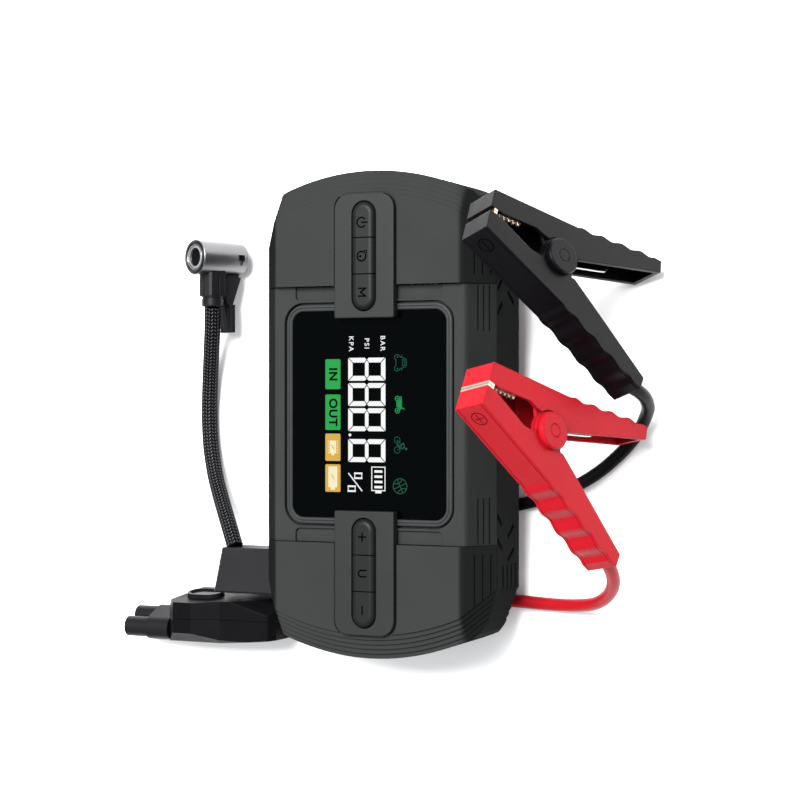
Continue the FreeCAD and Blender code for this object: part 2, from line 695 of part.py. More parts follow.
def make_port_cover():
    """Rubber flap over both sockets, folding up about the roll along its top edge."""
    flap = block(-8.5, 48.5, COVER_HINGE_Y - 0.9, COVER_HINGE_Y + 0.9, 16.2, COVER_HINGE_Z)
    roll = rod(1.1, (-8.5, COVER_HINGE_Y, COVER_HINGE_Z), (1, 0, 0), 57.0)
    pull = block(14, 26, COVER_HINGE_Y - 2.6, COVER_HINGE_Y - 0.8, 16.4, 18.6)
    return flap.fuse([roll, pull]).removeSplitter()


shaped("jump_socket", make_jump_socket())
shaped("socket_pins", make_socket_pins())
shaped("usb_ports", make_usb_ports())
shaped("port_cover", make_port_cover())


# ---------------------------------------------------------------- feet and screws

def make_feet():
    feet = []
    for x, y in FOOT_PLACES:
        pad_part = Part.makeCone(D["foot_radius"] - 0.8, D["foot_radius"], D["under_level"] - EPS, Vector(x, y, 0))
        stud = rod(D["foot_radius"] - 2.1, (x, y, D["under_level"] - 1), (0, 0, 1), 1.9)
        feet.append(pad_part.fuse(stud).removeSplitter())
    return Part.Compound(feet)


def make_screws():
    screws = []
    for x, y in SCREW_PLACES:
        head = rod(SCREW_HEAD_RADIUS, (x, y, HEAD_LEVEL - 1.8), (0, 0, 1), 1.75)
        drive = prism([(x - 0.5, y - 1.7, 0), (x + 0.5, y - 1.7, 0), (x + 0.5, y + 1.7, 0), (x - 0.5, y + 1.7, 0)],
                      (0, 0, HEAD_LEVEL - 0.9))
        cross = drive.copy()
        cross.rotate(Vector(x, y, 0), Vector(0, 0, 1), 90)
        shank = rod(SCREW_RADIUS, (x, y, HEAD_LEVEL - 0.3), (0, 0, 1), 48.0 - HEAD_LEVEL)
        screws.append(head.fuse(shank).cut([drive, cross]).removeSplitter())
    return Part.Compound(screws)


shaped("rubber_feet", make_feet())
shaped("case_screws", make_screws())


# ---------------------------------------------------------------- hose and chuck

def tube(points, radius, name):
    """A round tube along straight runs joined by tangent arcs."""
    pts = [Vector(*p) for p in points]
    runs = [b - a for a, b in zip(pts, pts[1:])]
    edges = []
    start = pts[0]
    radii = []
    for number in range(1, len(pts) - 1):
        before = runs[number - 1]
        after = runs[number]
        turn = before.getAngle(after)
        shorter = min(before.Length, after.Length)
        arc_radius = 0.45 * shorter / math.tan(turn / 2)
        radii.append(arc_radius)
        first, middle, last = corner_arc(pts[number - 1], pts[number], pts[number + 1], arc_radius)
        if (first - start).Length > 1e-6:
            edges.append(Part.LineSegment(start, first).toShape())
        edges.append(Part.Arc(first, middle, last).toShape())
        start = last
    edges.append(Part.LineSegment(start, pts[-1]).toShape())
    wire = Part.Wire(edges)
    circle = Part.Wire(Part.Circle(pts[0], runs[0], radius).toShape())
    solid = wire.makePipeShell([circle], True, False)
    expected = math.pi * radius ** 2 * wire.Length
    print(f"{name}: length {wire.Length:.1f} mm, smallest radius {min(radii):.1f} mm "
          f"({min(radii) / radius / 2:.1f} diameters), volume ratio {solid.Volume / expected:.4f}")
    return solid


HOSE_ROUTE = [
    (59.0, -77.7, 25.5), (50.0, -83.0, 21.6), (39.5, -91.0, 14.0), (28.0, -98.2, 7.6), (14.0, -102.4, 4.4),
    (-2.0, -103.4, 3.7), (-17.5, -101.2, 6.4), (-29.8, -97.5, 11.9), (-39.7, -94.7, 15.9), (-47.9, -93.4, 18.06),
]
CHUCK_TILT = 25.0
CHUCK_CENTRE = Vector(-69.8, -92.3, 15.7)
CHUCK = Placement(CHUCK_CENTRE, Rotation(Vector(1, 0, 0), CHUCK_TILT))
NECK_LEVEL = 2.6                # along the barrel, from its middle towards the mouth
NECK_HALF = 4.6
NECK_END = 17.2                 # from the barrel's axis
HOSE_FACE = 21.9


def make_root_block():
    """Wedge-shaped rubber boot on the -Y wall, where the hose leaves the housing."""
    y_wall = -SIDE - 0.15
    outline = [(59.0, y_wall, 13.5), (79.0, y_wall, 13.5), (79.0, -86.1, 13.5), (59.0, -81.9, 13.5)]
    body = prism(outline, (0, 0, 17.0))
    top = [e for e in body.Edges if e.BoundBox.ZMin > 30.4 or e.BoundBox.ZMax < 13.6]
    body = body.makeChamfer(0.8, top)
    socket = rod(2.75, (70.0, -SIDE - 6, D["crank_z"]), (0, 1, 0), 8)
    return body.cut(socket)


def chuck_cone(extra):
    """The barrel's tapered outside, grown by extra."""
    half = D["chuck_half"]
    return Part.makeCone(D["chuck_tail"] + extra, D["chuck_mouth"] + extra, 2 * half, Vector(0, 0, -half))


def make_chuck_barrel():
    half = D["chuck_half"]
    barrel = chuck_cone(0.0)
    rims = [e for e in barrel.Edges if e.Curve.TypeId == "Part::GeomCircle"]
    barrel = barrel.makeChamfer(0.5, rims)
    bore = rod(D["valve_radius"], (0, 0, 2.5), (0, 0, 1), 20)
    mouth_ring = rod(5.6, (0, 0, half - 1.2), (0, 0, 1), 3)
    seal_seat = rod(5.2, (0, 0, 0.0), (0, 0, 1), 2.5)
    slot = block(-2.5, 12, -1.7, 1.7, -half - 1, -2.0)
    window = block(-1.4, 1.4, 3, 12, 2.4 - half, 6.2 - half)
    pin = rod(1.0, (2.2, -10, PIN_LEVEL), (0, 1, 0), 20)
    neck_seat = rod(4.0, (5.2, 0, NECK_LEVEL), (1, 0, 0), 6)
    return barrel.cut([bore, mouth_ring, seal_seat, slot, window, pin, neck_seat])


def make_chuck_neck():
    """Black elbow body between the barrel and the hose ferrule, fitted to the barrel's outside."""
    start = 5.3
    body = block(start, NECK_END, -NECK_HALF, NECK_HALF, NECK_LEVEL - NECK_HALF, NECK_LEVEL + NECK_HALF)
    long_edges = [e for e in body.Edges if e.BoundBox.XLength > 1]
    body = body.makeChamfer(1.0, long_edges)
    body = body.cut(chuck_cone(0.1))
    grooves = []
    for sign in (1, -1):
        z = NECK_LEVEL + sign * NECK_HALF
        grooves.append(block(8.0, NECK_END + 1, -0.6, 0.6, z - 0.6, z + 0.6))
        grooves.append(block(8.0, NECK_END + 1, sign * NECK_HALF - 0.6, sign * NECK_HALF + 0.6,
                             NECK_LEVEL - 0.6, NECK_LEVEL + 0.6))
    spigot = rod(3.9, (start, 0, NECK_LEVEL), (1, 0, 0), 4.0)
    passage = rod(1.5, (start - 1, 0, NECK_LEVEL), (1, 0, 0), NECK_END)
    return body.cut(grooves).fuse(spigot).cut(passage).removeSplitter()


def make_ferrule():
    """Crimped collar between the neck and the hose."""
    length = HOSE_FACE - NECK_END
    body = rod(4.9, (NECK_END, 0, NECK_LEVEL), (1, 0, 0), length)
    rim = [e for e in body.Edges if e.Curve.TypeId == "Part::GeomCircle" and e.BoundBox.XMin > HOSE_FACE - 0.1]
    body = body.makeFillet(0.6, rim)
    band = rod(6, (NECK_END + 0.6, 0, NECK_LEVEL), (1, 0, 0), 0.6)
    return body.cut(band.cut(rod(4.5, (NECK_END, 0, NECK_LEVEL), (1, 0, 0), 3)))


PIN_LEVEL = 4.2 - D["chuck_half"]


def make_chuck_lever():
    web = prism([(0.2, -1.4, PIN_LEVEL - 2.6), (6.0, -1.4, PIN_LEVEL - 3.2), (21.0, -1.4, -6.4), (31.0, -1.4, -6.0),
                 (31.0, -1.4, -4.4), (20.0, -1.4, -2.8), (8.2, -1.4, -2.4), (3.2, -1.4, PIN_LEVEL + 3.2),
                 (0.2, -1.4, PIN_LEVEL + 2.4)], (0, 2.8, 0))
    flank = prism([(8.4, -3.0, -11.0), (21.0, -3.0, -6.4), (21.0, -3.0, -3.6), (17.0, -3.0, -2.4),
                   (8.4, -3.0, -2.4)], (0, 6.0, 0))
    tab = block(20.8, 33.4, -4.2, 4.2, -6.8, -4.7)
    hole = rod(1.06, (2.2, -10, PIN_LEVEL), (0, 1, 0), 20)
    return web.fuse([flank, tab]).cut(hole).removeSplitter()


shaped("hose_root_block", make_root_block())
shaped("air_hose", tube(HOSE_ROUTE, D["hose_radius"], "air_hose"))
shaped("hose_ferrule", make_ferrule(), CHUCK)
shaped("chuck_neck", make_chuck_neck(), CHUCK)
shaped("chuck_barrel", make_chuck_barrel(), CHUCK)
seal = round_body("chuck_seal_body", [("5.1", "2.4", "3.3")])
seal.Placement = CHUCK.multiply(Placement(Vector(0, 0, 0.05), Rotation()))
node(seal, "chuck_seal")
shaped("chuck_lever", make_chuck_lever(), CHUCK)
shaped("chuck_lever_pin", rod(1.0, (2.2, -6.8, PIN_LEVEL), (0, 1, 0), 13.6), CHUCK)


# ---------------------------------------------------------------- clamp module and its plug

MODULE_SECTION = [(83.5, 0.0), (79.5, 5.0), (84.0, 33.0), (97.5, 33.0), (102.0, 26.0), (102.5, 6.0), (99.5, 0.0)]
MODULE_FAR = -112.0
MODULE_NEAR = -58.0
MODULE_SPLIT_X = 91.5


def make_module():
    section = [(x, MODULE_FAR, z) for x, z in MODULE_SECTION]
    body = prism(section, (0, MODULE_NEAR - MODULE_FAR, 0))
    # both ends are faceted
    for y, sign in ((MODULE_FAR, 1), (MODULE_NEAR, -1)):
        wedge = prism([(70, y - sign * 0.1, 36), (70, y + sign * 9, 36), (70, y - sign * 0.1, 24)], (40, 0, 0))
        body = body.cut(wedge)
    corner = prism([(78, MODULE_FAR - 0.1, -1), (86, MODULE_FAR - 0.1, -1), (78, MODULE_FAR + 8, -1)], (0, 0, 40))
    # the broad face steps down towards the housing, and the module narrows there
    step = prism([(70, -96, 33), (70, -84, 28.5), (70, -50, 27.0), (70, -50, 40), (70, -96, 40)], (40, 0, 0))
    taper = prism([(103, -96, -1), (99, -50, -1), (106, -50, -1), (106, -96, -1)], (0, 0, 50))
    # a slanting facet widens along the upper edge towards the housing
    facet = prism([(83.6, -88.0, 31.5), (79.8, -50.0, 15.0), (93.0, -50.0, 28.0)], (-20, 0, 20))
    return body.cut([corner, step, taper, facet])


def module_halves():
    whole = make_module()
    hollow = block(86.5, 96.5, MODULE_FAR + 10, MODULE_NEAR - 9, 6.0, 26.0)
    halves = []
    for x0, x1 in ((60.0, MODULE_SPLIT_X - 0.1), (MODULE_SPLIT_X, 120.0)):
        halves.append(whole.common(block(x0, x1, -140, -40, -5, 60)).cut(hollow))
    return halves


LENS_FACE_TILT = math.degrees(math.atan2(4.5, 28.0))
LENS_CENTRE = Vector(81.9, -96.0, 19.5)


def make_module_lens():
    """Oval status window with a raised rim, set into the sloping face of the module."""
    slab = block(-2.0, 1.3, -8.5, 8.5, -6.0, 6.0)
    corners = [e for e in slab.Edges if abs(e.tangentAt(0).x) > 0.999]
    slab = slab.makeFillet(5.9, corners)
    dish = block(-3.0, -1.2, -7.3, 7.3, -4.8, 4.8)
    dish = dish.makeFillet(4.7, [e for e in dish.Edges if abs(e.tangentAt(0).x) > 0.999])
    return slab.cut(dish)


module_top, module_bottom = module_halves()
LENS = Placement(LENS_CENTRE, Rotation(Vector(0, 1, 0), LENS_FACE_TILT))
lens_pocket = block(-3.0, 1.4, -8.7, 8.7, -6.2, 6.2)
lens_pocket = lens_pocket.makeFillet(6.1, [e for e in lens_pocket.Edges if abs(e.tangentAt(0).x) > 0.999])
lens_pocket.Placement = LENS.multiply(lens_pocket.Placement)
shaped("module_lens", make_module_lens(), LENS)
module_top = module_top.cut(lens_pocket)
shaped("module_top_shell", module_top)
shaped("module_bottom_shell", module_bottom)

PLUG_X = 95.0
PLUG_Z = 17.0
PLUG_LEAN = math.radians(65.0)  # the two barrels stand nearly one over the other
PLUG_STEP = MODULE_FAR - 11.5


def plug_centre(sign, y):
    """Point on the axis of one of the plug's two barrels."""
    reach = sign * PLUG_PITCH / 2
    return (PLUG_X + reach * math.cos(PLUG_LEAN), y, PLUG_Z + reach * math.sin(PLUG_LEAN))


def make_plug_shell():
    """Two-way plug: a block that follows the pair, and two round insulated barrels."""
    length = MODULE_FAR - 0.15 - PLUG_STEP
    middle = block(-PLUG_PITCH / 2, PLUG_PITCH / 2, PLUG_STEP, PLUG_STEP + length, -5.4, 5.4)
    middle.rotate(Vector(), Vector(0, 1, 0), -math.degrees(PLUG_LEAN))
    middle.translate(Vector(PLUG_X, 0, PLUG_Z))
    solids = []
    bores = []
    for sign in (1, -1):
        solids.append(rod(5.4, plug_centre(sign, PLUG_STEP), (0, 1, 0), length))
        solids.append(rod(4.6, plug_centre(sign, PLUG_STEP + 3), (0, -1, 0), 14.5))
        bores.append(rod(3.5, plug_centre(sign, PLUG_STEP + 3), (0, -1, 0), 20))
    web = block(-3, 3, PLUG_STEP - 8, PLUG_STEP + 1, -1.6, 1.6)
    web.rotate(Vector(), Vector(0, 1, 0), -math.degrees(PLUG_LEAN))
    web.translate(Vector(PLUG_X, 0, PLUG_Z))
    return middle.fuse(solids + [web]).cut(bores).removeSplitter()


def make_plug_contacts():
    tubes = []
    for sign in (1, -1):
        centre = plug_centre(sign, PLUG_STEP + 2.9)
        tubes.append(rod(3.45, centre, (0, -1, 0), 13.4).cut(rod(2.75, centre, (0, -1, 0), 20)))
    return Part.Compound(tubes)


shaped("plug_shell", make_plug_shell())
shaped("plug_contacts", make_plug_contacts())


# ---------------------------------------------------------------- battery clamps and their leads

CLAMPS = {
    "black": Placement(Vector(-59.4, 80.8, 58.8), Rotation(46, 46, -56)),
    "red": Placement(Vector(7.5, 80.1, 68.8), Rotation(38, 50, -57)),
}


LEAD_ROUTES = {
    "black_lead": [
        (-11.39, 107.62, 36.94), (-9.1, 110.8, 30.3), (-3.8, 110.0, 18.3), (0.5, 106.5, 10.5), (7.5, 101.5, 5.2),
        (15.5, 94.5, 3.8), (26.0, 82.0, 3.4), (35.0, 64.0, 3.2), (39.5, 44.0, 3.2), (43.0, 24.0, 3.2),
        (53.0, 3.0, 3.2), (66.0, -17.0, 3.2), (77.0, -36.0, 3.3), (84.0, -49.0, 3.8), (86.0, -57.9, 5.0),
    ],
    "red_lead": [
        (57.4, 99.41, 43.49), (62.6, 100.7, 36.5), (71.5, 96.9, 24.6), (78.3, 87.2, 15.0), (80.2, 74.0, 8.0),
        (80.4, 60.5, 3.9), (79.6, 45.0, 3.2), (80.6, 29.0, 3.2), (84.0, 8.0, 3.2), (88.5, -13.0, 3.2),
        (93.0, -32.0, 3.2), (95.5, -47.0, 3.7), (96.0, -57.9, 5.0),
    ],
}

LIP = 1.15                      # half the gap between the two noses, which the jaws fill


def arm_outline(shrink):
    """Side profile of the upper arm; the handle's outer edge is wavy. Shrink offsets it inwards."""
    nose = D["nose_reach"]
    height = D["nose_height"]
    reach = D["handle_reach"]
    outer = D["handle_outer"]
    inner = D["handle_inner"]
    back = []
    start = (6.0, 19.3)
    waves = 4
    samples = waves * 8
    for index in range(samples + 1):
        share = index / samples
        x = start[0] + (reach - 4.0 - start[0]) * share
        y = start[1] + (outer - 0.5 - start[1]) * share
        back.append((x, y + 0.6 * math.sin(2 * math.pi * waves * share) - shrink))
    return ([(-nose + shrink, LIP), (-nose + shrink, height - shrink)] + back
            + [(reach - shrink, outer + 0.2 - shrink), (reach + 0.6 - shrink, inner + 0.3)]
            + [(9.4, 5.0), (-9.6, 5.0), (-14.0, 5.6), (-31.6, LIP)])


def rim_groove(side):
    """Fine lines along the back of an arm, one just inside each of its long edges."""
    line = [(x, y) for x, y in arm_outline(0.0)[1:-4]]
    band = [(x, side * (y + 0.6)) for x, y in line] + [(x, side * (y - 0.35)) for x, y in reversed(line)]
    half = D["clamp_half_width"]
    return [prism([(x, y, z) for x, y in band], (0, 0, 0.35)) for z in (half - 1.45, -half + 1.1)]


def clamp_arm(side):
    """An open channel: back, two cheeks and a nose. Side is +1 for the upper arm, -1 for the lower."""
    half = D["clamp_half_width"]
    wall = D["clamp_wall"]
    body = prism([(x, side * y, -half) for x, y in arm_outline(0.0)], (0, 0, 2 * half))
    inner = half - wall
    hollow_points = [(-D["nose_reach"] + wall, -1.0)]
    end = D["handle_reach"] - wall - 0.4
    for x, y in arm_outline(wall)[1:-6]:
        hollow_points.append((min(x, end), y))
    hollow_points += [(end, D["handle_outer"] - wall - 0.6), (end, 0.0), (0.0, -1.0)]
    hollow = prism([(x, side * y, -inner) for x, y in hollow_points], (0, 0, 2 * inner))
    body = body.cut([hollow] + rim_groove(side))
    ear_radius = D["pivot_disc"] + 0.4
    swing = D["pivot_disc"] + 0.9
    if side < 0:
        ear_outer = half
        ear_inner = half - wall
    else:
        ear_outer = half - wall - 0.35
        ear_inner = ear_outer - 1.4
        clearance = [rod(swing, (0, 0, s * (ear_inner + 0.7) - (half if s < 0 else 0.0)), (0, 0, 1), half)
                     for s in (1, -1)]
        body = body.cut(clearance)
    parts = []
    for sign in (1, -1):
        z0 = ear_inner if sign > 0 else -ear_outer
        ear = rod(ear_radius, (0, 0, z0), (0, 0, 1), ear_outer - ear_inner)
        web = prism([(-7.0, side * 2.0, z0), (7.0, side * 2.0, z0), (9.4, side * 16.0, z0), (-12.0, side * 11.0, z0)],
                    (0, 0, ear_outer - ear_inner))
        parts += [ear, web]
    if side > 0:
        ties = []
        for sign in (1, -1):
            z0, z1 = sorted((sign * ear_inner, sign * (half - 0.4)))
            ties.append(prism([(-11.0, 9.6, z0), (8.6, 10.6, z0), (8.6, 15.8, z0), (-11.0, 11.4, z0)],
                              (0, 0, z1 - z0)))
        parts += ties
    body = body.fuse(parts)
    body = body.cut(rod(D["pivot_pin"] + 0.05, (0, 0, -20), (0, 0, 1), 40))
    return body.removeSplitter()


def clamp_jaw(side, recess):
    """Copper jaw: a lip across the nose, set back by recess, and a strip of teeth inside each cheek."""
    half = D["clamp_half_width"]
    nose = D["nose_reach"]
    lip_end = -nose + 3.4
    lip = block(-nose + recess, lip_end, 0.12, LIP - 0.05, -half, half)
    strip_outer = half - D["clamp_wall"] - 0.15
    strip_thick = 1.3
    start = lip_end - 0.8
    teeth = 6
    pitch = 2.3
    stand_out = 1.5 if side > 0 else 0.2        # of the tips, past the cheek's edge
    slope = (5.6 - LIP) / 17.6
    points = [(start, 0.15)]
    for number in range(teeth):
        x = start + 1.4 + number * pitch
        edge = LIP + slope * max(0.0, x + 31.6)
        points += [(x, max(0.15, edge - stand_out)), (x + pitch * 0.5, edge + 0.5)]
    last_x, _ = points[-1]
    points += [(last_x + 1.0, 7.0), (start + 2.0, 3.6), (start, 3.2)]
    solids = [prism([(x, y, z) for x, y in points], (0, 0, strip_thick))
              for z in (strip_outer - strip_thick, -strip_outer)]
    jaw = lip.fuse(solids).removeSplitter()
    return jaw if side > 0 else jaw.mirror(Vector(), Vector(0, 1, 0))


def clamp_pivot():
    half = D["clamp_half_width"]
    pin = rod(D["pivot_pin"], (0, 0, -half - 1), (0, 0, 1), 2 * half + 2)
    heads = []
    for sign in (1, -1):
        z0 = half + 0.1 if sign > 0 else -half - 2.4
        disc = rod(D["pivot_disc"], (0, 0, z0), (0, 0, 1), 2.3)
        rim = [e for e in disc.Edges if e.Curve.TypeId == "Part::GeomCircle"
               and abs(e.BoundBox.ZMin - (z0 + 2.3 if sign > 0 else z0)) < 0.01]
        disc = disc.makeChamfer(0.6, rim)
        dimple = rod(2.8, (0, 0, half + 2.1 if sign > 0 else -half - 2.6), (0, 0, 1), 0.5)
        dimple = dimple.cut(rod(2.4, (0, 0, dimple.BoundBox.ZMin - 1), (0, 0, 1), 3))
        heads.append(disc.cut(dimple))
    return pin.fuse(heads).removeSplitter()


def clamp_spring():
    """Torsion spring: the coil round the pivot pin as a sleeve, with a leg along each handle."""
    half = D["clamp_half_width"] - D["clamp_wall"] - 2.1
    coil = rod(3.6, (0, 0, -half), (0, 0, 1), 2 * half).cut(rod(2.4, (0, 0, -9), (0, 0, 1), 18))
    legs = []
    for side in (1, -1):
        start = Vector(0, side * 3.0, side * (half - 0.8))
        end = Vector(36.0, side * 22.3, side * (half - 0.8))
        leg = end - start
        legs.append(Part.makeCylinder(0.7, leg.Length, start, leg))
    return coil.fuse(legs).removeSplitter()


def lead_entry(colour, stance):
    """Hole through the lower handle's end wall for the lead, in the clamp's own frame."""
    first, second = (stance.inverse().multVec(Vector(*p)) for p in LEAD_ROUTES[f"{colour}_lead"][:2])
    direction = second - first
    return Part.makeCylinder(D["lead_radius"] + 0.35, 12.0, first - direction.normalize() * 3.2, direction)


for colour, stance in CLAMPS.items():
    shaped(f"{colour}_lower_arm", clamp_arm(-1).cut(lead_entry(colour, stance)), stance)
    shaped(f"{colour}_upper_arm", clamp_arm(1), stance)
    recess = 1.7 if colour == "black" else 0.0
    shaped(f"{colour}_lower_jaw", clamp_jaw(-1, recess), stance)
    shaped(f"{colour}_upper_jaw", clamp_jaw(1, recess), stance)
    shaped(f"{colour}_pivot", clamp_pivot(), stance)
    shaped(f"{colour}_spring", clamp_spring(), stance)

for lead_name, route in LEAD_ROUTES.items():
    shaped(lead_name, tube(route, D["lead_radius"], lead_name))


# ---------------------------------------------------------------- checks and files

doc.recompute()
for obj in doc.Objects:
    bad = [word for word in obj.State if word in ("Invalid", "Error")]
    if bad:
        raise RuntimeError(f"{obj.Name} is {bad}")
for obj in NODES:
    shape = obj.Shape
    if shape.isNull() or not shape.isValid() or shape.Volume <= 0:
        raise RuntimeError(f"{obj.Label} has no valid shape")
os.makedirs("parts", exist_ok=True)
for old in os.listdir("parts"):
    os.remove(os.path.join("parts", old))
for obj in NODES:
    obj.Shape.exportStep(f"parts/{obj.Label}.step")
    bounds = obj.Shape.BoundBox
    print(f"{obj.Label}: {len(obj.Shape.Solids)} solids, {obj.Shape.Volume / 1000:.2f} cm3, "
          f"z {bounds.ZMin:.2f} to {bounds.ZMax:.2f}")
print(len(NODES), "sub-parts")
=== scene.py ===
import json
import math

import bpy
from mathutils import Matrix, Vector


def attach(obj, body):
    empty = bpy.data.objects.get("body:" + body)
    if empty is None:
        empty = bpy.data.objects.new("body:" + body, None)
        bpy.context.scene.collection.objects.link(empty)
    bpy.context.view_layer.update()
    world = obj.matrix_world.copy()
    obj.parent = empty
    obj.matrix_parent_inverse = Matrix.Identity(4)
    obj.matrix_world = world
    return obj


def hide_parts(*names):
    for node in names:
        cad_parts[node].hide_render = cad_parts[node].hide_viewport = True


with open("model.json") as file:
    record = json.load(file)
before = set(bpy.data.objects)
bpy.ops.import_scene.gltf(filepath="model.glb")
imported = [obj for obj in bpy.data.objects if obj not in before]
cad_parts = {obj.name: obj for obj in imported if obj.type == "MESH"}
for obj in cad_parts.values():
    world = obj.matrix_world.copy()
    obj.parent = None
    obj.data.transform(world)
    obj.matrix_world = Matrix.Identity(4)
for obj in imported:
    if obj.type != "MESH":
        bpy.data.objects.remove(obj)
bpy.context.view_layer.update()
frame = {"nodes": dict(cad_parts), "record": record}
NODES = frame["nodes"]
MM = 0.001


# ---------------------------------------------------------------- camera, light and floor

CAMERA_YAW = math.radians(24.2)         # the view leans towards the clamp side
CAMERA_PLACE = Vector((-0.0060, 0.3401, 0.7772))
CAMERA_LENS = 87.1
HORIZON = (0.16, 0.165, 0.17, 1.0)      # dark, so that side faces and metal edges go dark
OVERHEAD = (0.97, 0.985, 1.0, 1.0)
SKY_STRENGTH = 1.35
BACKDROP = (0.9, 0.9, 0.9, 1.0)         # what is seen past the floor's far edge, as pale as the floor
KEY_PLACE = Vector((-0.5, 0.0, 1.3))
KEY_TARGET = Vector((0.0, 0.0, 0.02))
KEY_SIDE = 0.7
KEY_POWER = 62.0
FLOOR_HALF = 4.0
FLOOR_LEVEL = -0.0005                   # just under the feet
FLOOR_COLOUR = (0.93, 0.93, 0.93, 1.0)


def make_camera():
    data = bpy.data.cameras.new("camera")
    data.sensor_width = 36.0
    data.lens = CAMERA_LENS
    data.clip_start = 0.01
    camera = bpy.data.objects.new("camera", data)
    bpy.context.scene.collection.objects.link(camera)
    right = Vector((0.0, math.cos(CAMERA_YAW), -math.sin(CAMERA_YAW)))
    up = Vector((-1.0, 0.0, 0.0))
    back = Vector((0.0, math.sin(CAMERA_YAW), math.cos(CAMERA_YAW)))
    turn = Matrix((right, up, back)).transposed().to_4x4()
    camera.matrix_world = Matrix.Translation(CAMERA_PLACE) @ turn
    bpy.context.scene.camera = camera


def make_sky():
    world = bpy.data.worlds.new("studio")
    bpy.context.scene.world = world
    world.use_nodes = True
    nodes, links = world.node_tree.nodes, world.node_tree.links
    direction = nodes.new("ShaderNodeTexCoord")
    split = nodes.new("ShaderNodeSeparateXYZ")
    sky = nodes.new("ShaderNodeValToRGB")
    sky.color_ramp.elements[0].position = 0.1
    sky.color_ramp.elements[0].color = HORIZON
    sky.color_ramp.elements[1].position = 0.75
    sky.color_ramp.elements[1].color = OVERHEAD
    links.new(direction.outputs["Generated"], split.inputs["Vector"])
    links.new(split.outputs["Z"], sky.inputs["Fac"])
    ray = nodes.new("ShaderNodeLightPath")
    backdrop = nodes.new("ShaderNodeMix")
    backdrop.data_type = "RGBA"
    backdrop.inputs["B"].default_value = BACKDROP
    links.new(ray.outputs["Is Camera Ray"], backdrop.inputs["Factor"])
    links.new(sky.outputs["Color"], backdrop.inputs["A"])
    links.new(backdrop.outputs["Result"], nodes["Background"].inputs["Color"])
    nodes["Background"].inputs["Strength"].default_value = SKY_STRENGTH


def make_key_light():
    data = bpy.data.lights.new("key", "AREA")
    data.shape = "SQUARE"
    data.size = KEY_SIDE
    data.energy = KEY_POWER
    light = bpy.data.objects.new("key", data)
    bpy.context.scene.collection.objects.link(light)
    light.location = KEY_PLACE
    light.rotation_euler = (KEY_TARGET - KEY_PLACE).to_track_quat("-Z", "Y").to_euler()


def make_floor():
    mesh = bpy.data.meshes.new("floor")
    corners = [(-FLOOR_HALF, -FLOOR_HALF, 0), (FLOOR_HALF, -FLOOR_HALF, 0),
               (FLOOR_HALF, FLOOR_HALF, 0), (-FLOOR_HALF, FLOOR_HALF, 0)]
    mesh.from_pydata(corners, [], [(0, 1, 2, 3)])
    floor = bpy.data.objects.new("floor", mesh)
    bpy.context.scene.collection.objects.link(floor)
    floor.location.z = FLOOR_LEVEL
    material = bpy.data.materials.new("floor")
    material.use_nodes = True
    shader = material.node_tree.nodes["Principled BSDF"]
    shader.inputs["Base Color"].default_value = FLOOR_COLOUR
    shader.inputs["Roughness"].default_value = 0.9
    mesh.materials.append(material)


def make_studio():
    bpy.context.scene.view_settings.view_transform = "Standard"
    make_sky()
    make_key_light()
    make_floor()


# ---------------------------------------------------------------- materials

SIDE_SCALE = 8.0        # stretches the housing's width over the ramp of painted side shade
SIDE_FADE = 0.0012      # metres over which the front's colour turns into the painted side shade
